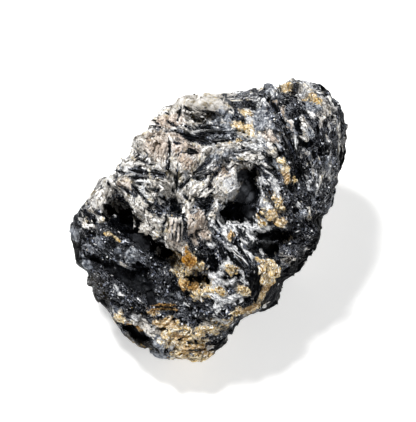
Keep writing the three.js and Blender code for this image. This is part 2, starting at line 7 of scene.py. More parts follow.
# %% Load the frame
import math
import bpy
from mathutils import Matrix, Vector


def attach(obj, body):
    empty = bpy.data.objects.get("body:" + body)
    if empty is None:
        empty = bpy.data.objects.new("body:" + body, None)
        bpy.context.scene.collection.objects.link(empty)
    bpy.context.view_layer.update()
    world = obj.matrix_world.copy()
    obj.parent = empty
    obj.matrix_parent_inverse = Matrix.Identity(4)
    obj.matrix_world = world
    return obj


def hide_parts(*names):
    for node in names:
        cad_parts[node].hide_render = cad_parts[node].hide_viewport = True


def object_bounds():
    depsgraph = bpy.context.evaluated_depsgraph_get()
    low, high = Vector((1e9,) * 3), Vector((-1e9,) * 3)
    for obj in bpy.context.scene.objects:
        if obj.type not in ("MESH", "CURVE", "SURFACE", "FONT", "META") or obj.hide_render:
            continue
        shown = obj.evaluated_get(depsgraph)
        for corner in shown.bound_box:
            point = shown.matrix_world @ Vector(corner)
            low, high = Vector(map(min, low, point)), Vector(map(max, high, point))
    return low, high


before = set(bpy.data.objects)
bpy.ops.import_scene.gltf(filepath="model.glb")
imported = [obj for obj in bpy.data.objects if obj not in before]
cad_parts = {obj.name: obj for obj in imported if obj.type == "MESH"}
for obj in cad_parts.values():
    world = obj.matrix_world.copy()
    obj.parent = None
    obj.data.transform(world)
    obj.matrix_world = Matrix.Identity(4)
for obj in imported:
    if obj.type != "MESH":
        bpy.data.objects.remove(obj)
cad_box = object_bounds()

from types import SimpleNamespace

import bmesh
import bpy
import numpy as np
from mathutils import Matrix, Vector, kdtree

cad_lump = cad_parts["schorl_specimen"]
print("CAD box, metres:", [[round(x, 4) for x in corner] for corner in cad_box])

# %% [markdown]
# ## The show face's own frame
# Everything on the lump is easier to place square to its show face, so the work is done in millimetres in that
# frame: a is across the face, b is up it and c comes out of it. These three values are the CAD part's own.

# %% The show face's frame
FACE_LEAN = math.radians(25)
FACE_TURN = math.radians(-55)
FACE_MIDDLE = np.array([-2.25, -1.24, 24.0])
FACE_AXES = np.array(Matrix.Rotation(FACE_TURN, 3, "Z") @ Matrix.Rotation(FACE_LEAN, 3, "X"))


def to_face(metres):
    """Places in the part's metres, as millimetres on the show face."""
    return (np.asarray(metres) * 1000 - FACE_MIDDLE) @ FACE_AXES


def to_part(millimetres):
    """Places in millimetres on the show face, as the part's metres."""
    return (np.asarray(millimetres) @ FACE_AXES.T + FACE_MIDDLE) / 1000


def part_height(millimetres):
    """Height over the resting flat, mm."""
    return to_part(millimetres)[:, 2] * 1000


print("the face looks towards:", FACE_AXES[:, 2].round(2))

# %% [markdown]
# ## The camera
# The view is square to the show face, so it comes from 65 degrees above level. A short lens close by would make the
# near side swell. A long one from three quarters of a metre keeps the perspective as slight as in a catalogue of
# minerals. The frame is 416 by 422 pixels, at 4 pixels to the millimetre.

# %% Camera
PICTURE_WIDTH = 416
PIXELS_PER_MM = 4.0
CAMERA_DISTANCE = 750.0  # mm
LOOK_AT = np.array([-0.5, 1.0, 0.0])
SENSOR = 36.0  # mm

camera_data = bpy.data.cameras.new("camera")
camera_data.sensor_fit = "HORIZONTAL"
camera_data.sensor_width = SENSOR
camera_data.lens = SENSOR * CAMERA_DISTANCE / (PICTURE_WIDTH / PIXELS_PER_MM)
camera = bpy.data.objects.new("camera", camera_data)
camera.matrix_world = Matrix.Translation(to_part(LOOK_AT + [0, 0, CAMERA_DISTANCE])) @ Matrix(FACE_AXES).to_4x4()
bpy.context.scene.collection.objects.link(camera)
bpy.context.scene.camera = camera
print("lens, mm:", round(camera_data.lens, 1))

# %% [markdown]
# ## Noise from whole numbers
# Broken rock needs irregularity that comes out the same on every run. Blender's own noise textures work on finished
# meshes and shaders, and here arrays of points need it. A hash of a lattice corner's whole-number place gives a
# repeatable random number, and blending the eight corners round a point gives smooth noise of a known size.

# %% Noise
def corner_hash(i, j, k, salt):
    """A number from 0 to 1 for each lattice corner. The large constants only have to be odd and look random."""
    h = (i * 374761393 + j * 668265263 + k * 1274126177 + salt * 974634777) & 0xFFFFFFFF
    h = ((h ^ (h >> 13)) * 1274126177) & 0xFFFFFFFF
    h = ((h ^ (h >> 16)) * 2246822519) & 0xFFFFFFFF
    return (h ^ (h >> 15)) / 0xFFFFFFFF


def noise3(points, size, salt):
    """Smooth noise from -1 to 1, whose bumps are about size millimetres across."""
    scaled = points / size + 1000.0  # far enough off that no cell has a negative number
    cell = np.floor(scaled).astype(np.int64)
    t = scaled - cell
    t = t * t * (3 - 2 * t)
    total = np.zeros(len(points))
    for corner in range(8):
        step = np.array([corner & 1, corner >> 1 & 1, corner >> 2])
        weight = np.prod(np.where(step, t, 1 - t), axis=1)
        total += weight * corner_hash(*(cell + step).T, salt)
    return 2 * total - 1


def smoothstep(low, high, x):
    """0 up to low, 1 from high on, and a smooth rise between them."""
    t = np.clip((x - low) / (high - low), 0, 1)
    return t * t * (3 - 2 * t)


# %% [markdown]
# ## A fine skin for the lump
# The CAD solid has facets of two and a half millimetres, which is right for its mass and its outline but far too
# coarse for the eye. Subdividing it would keep its long thin triangles. A voxel remesh gives an even skin of quads a
# third of a millimetre wide instead, and a little smoothing takes off the coarse facets, so that the relief added
# later is the only relief that shows.

# %% Remesh the CAD solid
VOXEL = 0.34  # mm
SMOOTHING_ROUNDS = 22


def fine_skin(source):
    """A remeshed and smoothed copy of the solid's mesh."""
    mesh = source.data.copy()
    work = bmesh.new()
    work.from_mesh(mesh)
    bmesh.ops.remove_doubles(work, verts=work.verts, dist=1e-6)
    work.to_mesh(mesh)
    work.free()
    holder = bpy.data.objects.new("skin", mesh)
    bpy.context.scene.collection.objects.link(holder)
    remesh = holder.modifiers.new("even quads", "REMESH")
    remesh.mode = "VOXEL"
    remesh.voxel_size = VOXEL / 1000
    smooth = holder.modifiers.new("take off facets", "SMOOTH")
    smooth.factor = 0.5
    smooth.iterations = SMOOTHING_ROUNDS
    done = bpy.data.meshes.new_from_object(holder.evaluated_get(bpy.context.evaluated_depsgraph_get()))
    bpy.data.objects.remove(holder)
    return done


def arrays_of(mesh):
    """A mesh of quads as an array of its points and one of its faces."""
    points = np.empty(len(mesh.vertices) * 3)
    mesh.vertices.foreach_get("co", points)
    quads = np.empty(len(mesh.loops), np.int64)
    mesh.loops.foreach_get("vertex_index", quads)
    return points.reshape(-1, 3), quads.reshape(-1, 4)


def vertex_normals(points, quads):
    """Area-weighted normals of a mesh of quads."""
    diagonal_1 = points[quads[:, 2]] - points[quads[:, 0]]
    diagonal_2 = points[quads[:, 3]] - points[quads[:, 1]]
    face_normals = np.cross(diagonal_1, diagonal_2)
    normals = np.zeros_like(points)
    for corner in range(4):
        for axis in range(3):
            normals[:, axis] += np.bincount(quads[:, corner], face_normals[:, axis], len(points))
    return normals / np.maximum(np.linalg.norm(normals, axis=1, keepdims=True), 1e-12)


skin_points, quads = arrays_of(fine_skin(cad_lump))
skin = to_face(skin_points)
print("skin:", len(skin), "points,", len(quads), "quads")

# %% [markdown]
# ## Where each mineral is
# A geologist would map the face before drawing it, and this is that map. It could be painted as an image, but marks
# with real sizes can steer the shape as well as the colour. Each mark runs from one place to another on the face with
# a half width, all in millimetres. It has a cover, which is how far it takes over from what is under it, and a lift,
# which is how far it stands out of the rock. Later marks go over earlier ones. The broad ones come first and only
# tint the mix.

# %% Mineral map: broad areas
MINERALS = ["schorl", "feldspar", "albite", "limonite", "quartz"]
GROUND_MIX = [0.9, 0.03, 0.05, 0.0, 0.02]  # felted schorl with specks of the others

# mineral, from a, b, to a, b, half width, cover, lift
BROAD = [
    # the pale slab, the black terrace and flank, the speckled dome
    ("feldspar", -14, 9, -8, 20, 9, 0.72, 0), ("feldspar", -24, 4, -10, 2, 6, 0.3, 0),
    ("schorl", -27, -12, -9, -18, 7, 0.75, 0), ("schorl", 21, -3, 23, -10, 7, 0.5, 0),
    ("albite", 2, -12, 8, -8, 6, 0.16, 0), ("albite", 22, 30, 24, 24, 8, 0.07, 0),
    ("feldspar", 24, 28, 26, 16, 8, 0.06, 0), ("quartz", 22, 28, 25, 12, 9, 0.02, 0),
    ("feldspar", 3, 15, 12, 17, 3, 0.35, 0), ("albite", 4, 17, 12, 18.5, 3, 0.3, 0),
    ("schorl", -3.4, 20.8, 5, 19.4, 2.2, 0.85, 0), ("schorl", 1.8, 24.4, 6, 23.6, 2, 0.8, 0),
    ("schorl", -19.4, 10.4, -12, 10, 1.5, 0.5, 0), ("schorl", -23.6, 8.6, -20, 9.6, 1, 0.6, 0),
    ("schorl", -17, 4, -10, 2, 2.6, 0.75, 0), ("schorl", 26, 20, 30, 12, 4, 0.25, 0),
    ("quartz", -1, 22, 6, 21, 3.4, 0.3, 0), ("schorl", 26, 6, 28, 3, 4, 0.3, 0),
    ("albite", 26, 10, 28, 7, 3, 0.25, 0), ("schorl", 22, 30, 27, 22, 5, 0.6, 0),
    ("schorl", 4, -25, 11, -22.4, 1.4, 0.6, 0),
]
print("broad areas:", len(BROAD))

# %% [markdown]
# Patches are the forms that someone who knows the specimen would point at: the pale block, the plates of the slab,
# the lobes that hang over the terrace, the hollows, and the crusts. Inside a patch nearly every crystal is its own
# mineral.

# %% Mineral map: patches
PATCHES = [
    # the pale block on the top edge and the hollow under it
    ("feldspar", -6, 28.8, 2, 28.2, 2.9, 1, 0), ("feldspar", 1.4, 27.4, 2.8, 26.8, 1.3, 1, 0),
    ("schorl", -5, 25.2, -1.6, 24.6, 1.5, 0.6, 0),
    # plates of the slab
    ("feldspar", -13.3, 24.4, -12, 24, 1.5, 0.85, 0.3), ("feldspar", -12, 22.9, -8.6, 23.4, 1.1, 0.85, 0.3),
    ("feldspar", -9.4, 26.1, -9, 25.4, 0.9, 0.9, 0.2), ("feldspar", -13.4, 17.9, -12, 16.6, 2, 0.95, 0.5),
    ("feldspar", -13.8, 14.6, -11.2, 14.4, 0.8, 0.9, 0.1),
    ("feldspar", -17.2, 12.2, -15.4, 11.6, 0.8, 0.95, 0.5), ("albite", -22.4, 11.7, -20.4, 11.6, 0.6, 0.9, 0.3),
    ("feldspar", -9.8, 9.4, -8.9, 8.6, 0.9, 0.95, 0.4), ("feldspar", -14.4, 8.1, -11, 6.7, 0.9, 0.95, 0.6),
    ("feldspar", -5.2, 6.2, -1.6, 7.6, 1.2, 0.98, 0.8), ("feldspar", -22, 8.4, -20.8, 7.8, 0.9, 0.9, 0.3),
    ("feldspar", -6.4, 14.4, -5.8, 12.8, 0.9, 0.9, 0.3), ("albite", -8.6, 12.6, -8, 11.6, 1, 0.8, 0.1),
    ("feldspar", -4.4, 14.1, -3.8, 13.2, 0.6, 0.9, 0.3), ("feldspar", -7.4, 16.8, -4.8, 16.2, 0.6, 0.9, 0.2),
    ("albite", -16.4, 7.2, -15.4, 5.4, 1.2, 0.7, 0), ("albite", -14.4, 5.2, -12, 4, 1.2, 0.45, 0),
    ("feldspar", -7.6, 4, -5.4, 2.6, 1.4, 0.6, 0), ("feldspar", -27.4, 6.3, -26, 6.2, 1, 0.7, 0.5),
    ("feldspar", -27.8, 3.6, -26.2, 2.2, 1.4, 0.9, 0.8), ("feldspar", -18.2, 18.4, -17.6, 17.6, 1.4, 0.85, 0.6),
    # lobes that overhang the terrace, and the cave and the long shadowed groove below them
    ("feldspar", -16.6, -1.4, -12.8, -3, 1.6, 0.97, 1.4), ("feldspar", -9.4, -2.4, -8.6, -5.6, 1.9, 0.98, 1.4),
    ("feldspar", -3.2, -1.4, -2.6, -4.6, 1.8, 0.85, 0.6), ("schorl", -23.4, 0.6, -18.8, -2.6, 2.4, 1, -4.2),
    ("schorl", -19, -4.4, -11.6, -8.9, 1.3, 1, -3.2), ("schorl", -11, -9.2, -7.4, -10, 0.9, 1, -2.4),
    ("feldspar", -13, -6.4, -10.8, -8.5, 0.4, 0.8, 0.3),
    # round the central hollow
    ("schorl", 8.8, 9, 9.2, 5.6, 2.3, 0.94, -1.8), ("schorl", 4.4, 1.4, 10, -0.4, 1.7, 0.94, -1.9),
    ("schorl", 6, 11, 12, 10.2, 0.8, 0.8, -1), ("feldspar", 2.6, 11, 3, 10.4, 0.9, 0.9, 0.5),
    ("feldspar", 3.6, 8.8, 4.6, 5.6, 2.3, 1, 0), ("albite", 3.6, 4.6, 5.6, 4.2, 0.8, 0.6, 0.3),
    ("feldspar", 6, 13.3, 10.4, 13.9, 0.5, 0.9, 0.4), ("albite", 4, 8.8, 5.4, 5.6, 1.5, 0.85, 0.2),
    ("feldspar", 7.6, 12, 9.6, 11.6, 0.7, 0.9, 0.6), ("feldspar", 14.4, 15.6, 15.6, 15.2, 0.8, 0.95, 0.4),
    ("feldspar", 13.8, 19.2, 15.6, 18.4, 0.8, 0.85, 0.3), ("albite", 1.8, 2.2, 2.6, 0.8, 0.6, 0.7, 0.2),
    # dome
    ("feldspar", 16, 27.4, 17.6, 25, 0.5, 0.8, 0.1), ("feldspar", 18, 24.6, 19.8, 21, 0.7, 0.75, 0.1),
    ("feldspar", 28, 26.8, 29, 25.8, 1.1, 0.75, 0.3), ("feldspar", 23, 32, 24.6, 31.2, 0.8, 0.35, 0.1),
    ("albite", 23, 32.6, 25, 31.6, 0.9, 0.2, 0), ("schorl", 21.6, 22.6, 22.2, 21.8, 0.9, 0.9, -0.4),
    ("schorl", 22.4, 18.4, 24, 17.6, 0.9, 0.9, -0.4), ("schorl", 2.8, 29.6, 4.6, 27, 0.8, 0.95, -0.4),
    ("schorl", 33, 15, 34, 13, 0.8, 0.9, 0), ("quartz", 14, 31.4, 15, 30.8, 1.1, 0.6, 0.6),
    # quartz
    ("quartz", 12.6, 25.6, 12.8, 22, 1.2, 0.45, 0.2), ("quartz", 15.8, 21.8, 16.6, 21, 1, 0.7, 0.3),
    ("quartz", 19.4, 23.4, 20, 22.4, 0.6, 0.9, 0.1), ("quartz", 1.6, 15, 3.6, 14.8, 0.8, 0.6, 0),
    ("quartz", -14.4, -29.8, -11.6, -31.8, 1.7, 0.75, 1), ("albite", -13.2, -29.6, -12.4, -30.6, 0.7, 0.6, 0.4),
    ("quartz", -13.2, -34.6, -12, -35, 0.9, 0.9, 0.4), ("quartz", -31.4, -11.6, -31, -12.2, 0.7, 0.95, 0.4),
    ("quartz", -34, -4.4, -33.6, -6.2, 0.7, 0.8, 0.2), ("quartz", -21.4, 13.6, -21.3, 13.5, 0.8, 0.4, 0.5),
    # white sugar across the middle and the lower right
    ("albite", 1.8, -1, 3.8, -2.8, 0.9, 0.85, 0.5), ("albite", 7.4, -2.4, 14, -3.4, 1, 0.8, 0.6),
    ("albite", 10.2, -6, 10.6, -6.6, 0.7, 1, 0.9), ("albite", 7.6, -6, 9, -9.4, 1.2, 0.25, 0.2),
    ("albite", 2.4, -10, 2.8, -14.2, 1, 0.7, 0.3), ("albite", 11, -12.6, 10.4, -13.4, 0.7, 0.8, 0.3),
    ("albite", 1.2, -16.6, 6.6, -16.4, 1.2, 0.7, 0.3), ("albite", 1.2, -19.4, 3.6, -20.6, 1.3, 0.65, 0.3),
    ("albite", 0.8, -23, 2.6, -22.2, 0.9, 0.6, 0), ("albite", 5, -20.8, 7, -22, 0.9, 0.4, 0),
    ("albite", -18.6, -25.4, -13.2, -26.4, 0.9, 0.75, 0.3),
    ("feldspar", -17, -27.4, -14.6, -28.4, 0.8, 0.9, 0.4), ("albite", -16, -14.8, -15, -15.6, 0.7, 0.7, 0.3),
    ("quartz", -28, -8, -20, -12.4, 2.4, 0.26, 0.6), ("quartz", -15, -11, -10, -12.6, 1.6, 0.2, 0.5),
    ("quartz", -14, -19.4, -9, -20.2, 0.9, 0.35, 0), ("albite", 12.6, 8.6, 13, 6.4, 1, 0.85, 0.5),
    ("albite", 15.4, 8.4, 16.8, 6, 0.8, 0.9, 0.5), ("albite", 12.8, 3.6, 13.6, 0.4, 0.9, 0.7, 0.4),
    ("albite", 1, -31, 3, -29.8, 0.7, 0.6, 0.1),
    # limonite: gold at the top, honey by the hollow, orange knobs, yellow sugar, the crust at the foot
    ("limonite", 7.4, 25.6, 9.6, 25.4, 0.8, 0.75, 0.3), ("limonite", 5.8, 22.2, 7, 21.6, 0.9, 0.95, 0.6),
    ("limonite", 8.8, 22.4, 10.8, 21, 1.3, 0.95, 0.6), ("limonite", 5.4, 17.6, 8.4, 18, 0.7, 0.6, 0.2),
    ("limonite", 15, 4.8, 16.8, 2.6, 1.3, 0.8, 0.6), ("limonite", 14, -0.2, 17.6, -1.6, 1.5, 0.9, 0.8),
    ("limonite", 18, 12, 18.6, 8.8, 0.9, 0.9, 0.5), ("limonite", 20.6, 8.6, 20.7, 8.5, 0.7, 0.9, 0.4),
    ("limonite", 24, 28.8, 26.6, 27.6, 0.8, 0.85, 0.3), ("limonite", 18.6, 31.9, 19.6, 31.4, 0.8, 0.9, 0.3),
    ("limonite", 18, -5.4, 18.4, -5.8, 0.7, 0.85, 0.3), ("limonite", 4, -5, 5.6, -5.2, 0.9, 0.5, 0.3),
    ("limonite", -8, -10.6, -5.4, -15.6, 1.5, 0.7, 0), ("limonite", -6, -15.8, -1.6, -19, 1.7, 0.65, 0),
    ("limonite", -6.6, -8.6, -4.2, -11.2, 1.3, 1, 1.5), ("limonite", -4.6, -12.8, -1.6, -13.2, 1, 0.7, 1.2),
    ("limonite", -8.8, -13.4, -6.6, -14.4, 0.8, 0.85, 0.2),
    ("limonite", -8.4, -11.4, -7.6, -12, 1.1, 0.6, -0.4), ("limonite", -5.6, -17.8, -1.6, -18, 1.3, 0.85, 0.8),
    ("limonite", -3.4, -20, -2, -19.8, 1.1, 0.9, 0.7), ("limonite", -6.4, -16.6, -6, -17.4, 0.8, 0.8, 0.3),
    ("limonite", 4.2, -12.8, 5.6, -13.4, 0.7, 0.95, 0.5), ("limonite", 2.2, -18.8, 2.8, -19, 0.7, 0.9, 0.4),
    ("limonite", 6.8, -18.6, 9, -19.2, 0.9, 0.75, 0.4), ("limonite", 14, -12.2, 15.4, -16.6, 1.9, 1, 0.9),
    ("limonite", 12.6, -19.8, 13.8, -18.8, 0.8, 0.9, 0.3), ("limonite", 14, -20.6, 5.4, -24.6, 0.7, 0.9, 0.3),
    ("limonite", 5, -25, 4, -28.4, 0.6, 0.85, 0.2), ("limonite", -9.6, -29, -2, -33.4, 3.2, 0.86, 0.2),
    ("quartz", -14.6, -29.6, -12.4, -31.6, 1.4, 0.4, 0), ("limonite", -9.8, -28.8, -8.4, -30, 1.3, 0.9, 0.7),
    ("limonite", -3, -28.6, 1.2, -28.4, 1.2, 1, 1.1), ("limonite", -6.8, -32.8, -3, -32, 1.2, 0.9, 0.6),
    ("limonite", -9.6, -35, -2, -35.4, 1.2, 0.85, 0.8), ("limonite", -4, -36, -3, -36, 0.8, 0.95, 0.4),
    ("limonite", -21.6, -24, -21, -25.6, 0.8, 0.85, 0.4), ("limonite", -13, -26.2, -9.6, -26.8, 0.7, 0.8, 0.2),
    ("limonite", -20.8, -31.4, -16.4, -33.2, 0.8, 0.45, 0),
    ("limonite", -14.6, -23.8, -14, -24.6, 0.7, 0.7, 0.2),
    # bare schorl in the hollows, on the terrace and at the rims
    ("schorl", 11, -4.9, 17.6, -5, 0.8, 1, -2.2), ("schorl", 11.6, -7.8, 15.6, -8.6, 1, 0.95, -1.6),
    ("schorl", -29.8, -10.4, -25, -12.8, 0.6, 1, -0.7), ("schorl", -25, -12.8, -20, -15.2, 1.1, 1, -1),
    ("schorl", -20, -15.2, -15.6, -18, 1.7, 1, -1.2), ("schorl", -15.6, -18, -13.8, -21, 1, 1, -1),
    ("schorl", -18, -12.8, -16.8, -14.6, 1.2, 0.95, -0.3), ("schorl", -32.8, -8, -32.6, -10, 0.8, 0.95, 0),
    ("schorl", -5.4, -23.8, -1.4, -24.6, 2, 0.8, -0.4), ("schorl", 11.2, -14, 11.4, -19.4, 1.1, 1, 0.3),
    ("schorl", 1.6, -34, 3, -32.4, 1.3, 1, 0.2), ("schorl", 0.6, -11, 0.8, -14, 0.8, 0.9, -0.3),
    ("schorl", 2.6, -15.1, 7, -15.1, 0.4, 1, -0.5), ("schorl", -4.8, -15.8, -0.8, -16, 0.6, 1, -1.6),
    ("schorl", -20.6, -28, -16.6, -30.4, 0.9, 1, -2.4), ("schorl", -4.8, -31.8, 1.4, -31.6, 0.5, 0.85, -0.9),
    ("schorl", 15.4, -22.8, 18, -17, 2.2, 1, 0), ("schorl", 18.6, -15, 25, -11, 1.6, 0.95, 0),
    ("schorl", 26.6, -8, 28.4, -1, 1.4, 0.9, 0), ("schorl", -26, -21, -31, -15, 2.4, 0.7, 0),
    ("schorl", -33.6, -11, -34.4, -7, 0.9, 0.9, 0), ("schorl", -14.4, -33.6, -13, -33.6, 0.5, 1, -0.8),
    ("schorl", -0.4, 9, 0.2, 4, 0.9, 0.7, 0), ("schorl", -9, 2.4, -8.4, 1.4, 0.9, 0.9, -0.4),
    ("schorl", -22.6, 9, -23.2, 7.4, 0.5, 0.9, -0.2), ("schorl", -0.6, 1, 0.2, -4, 0.8, 0.6, -0.3),
]
print("patches:", len(PATCHES))

# %% [markdown]
# Needles, veins and cracks are finer than the patches and are drawn crisply over the crystals. The first ones are the
# black needles that cross the slab.

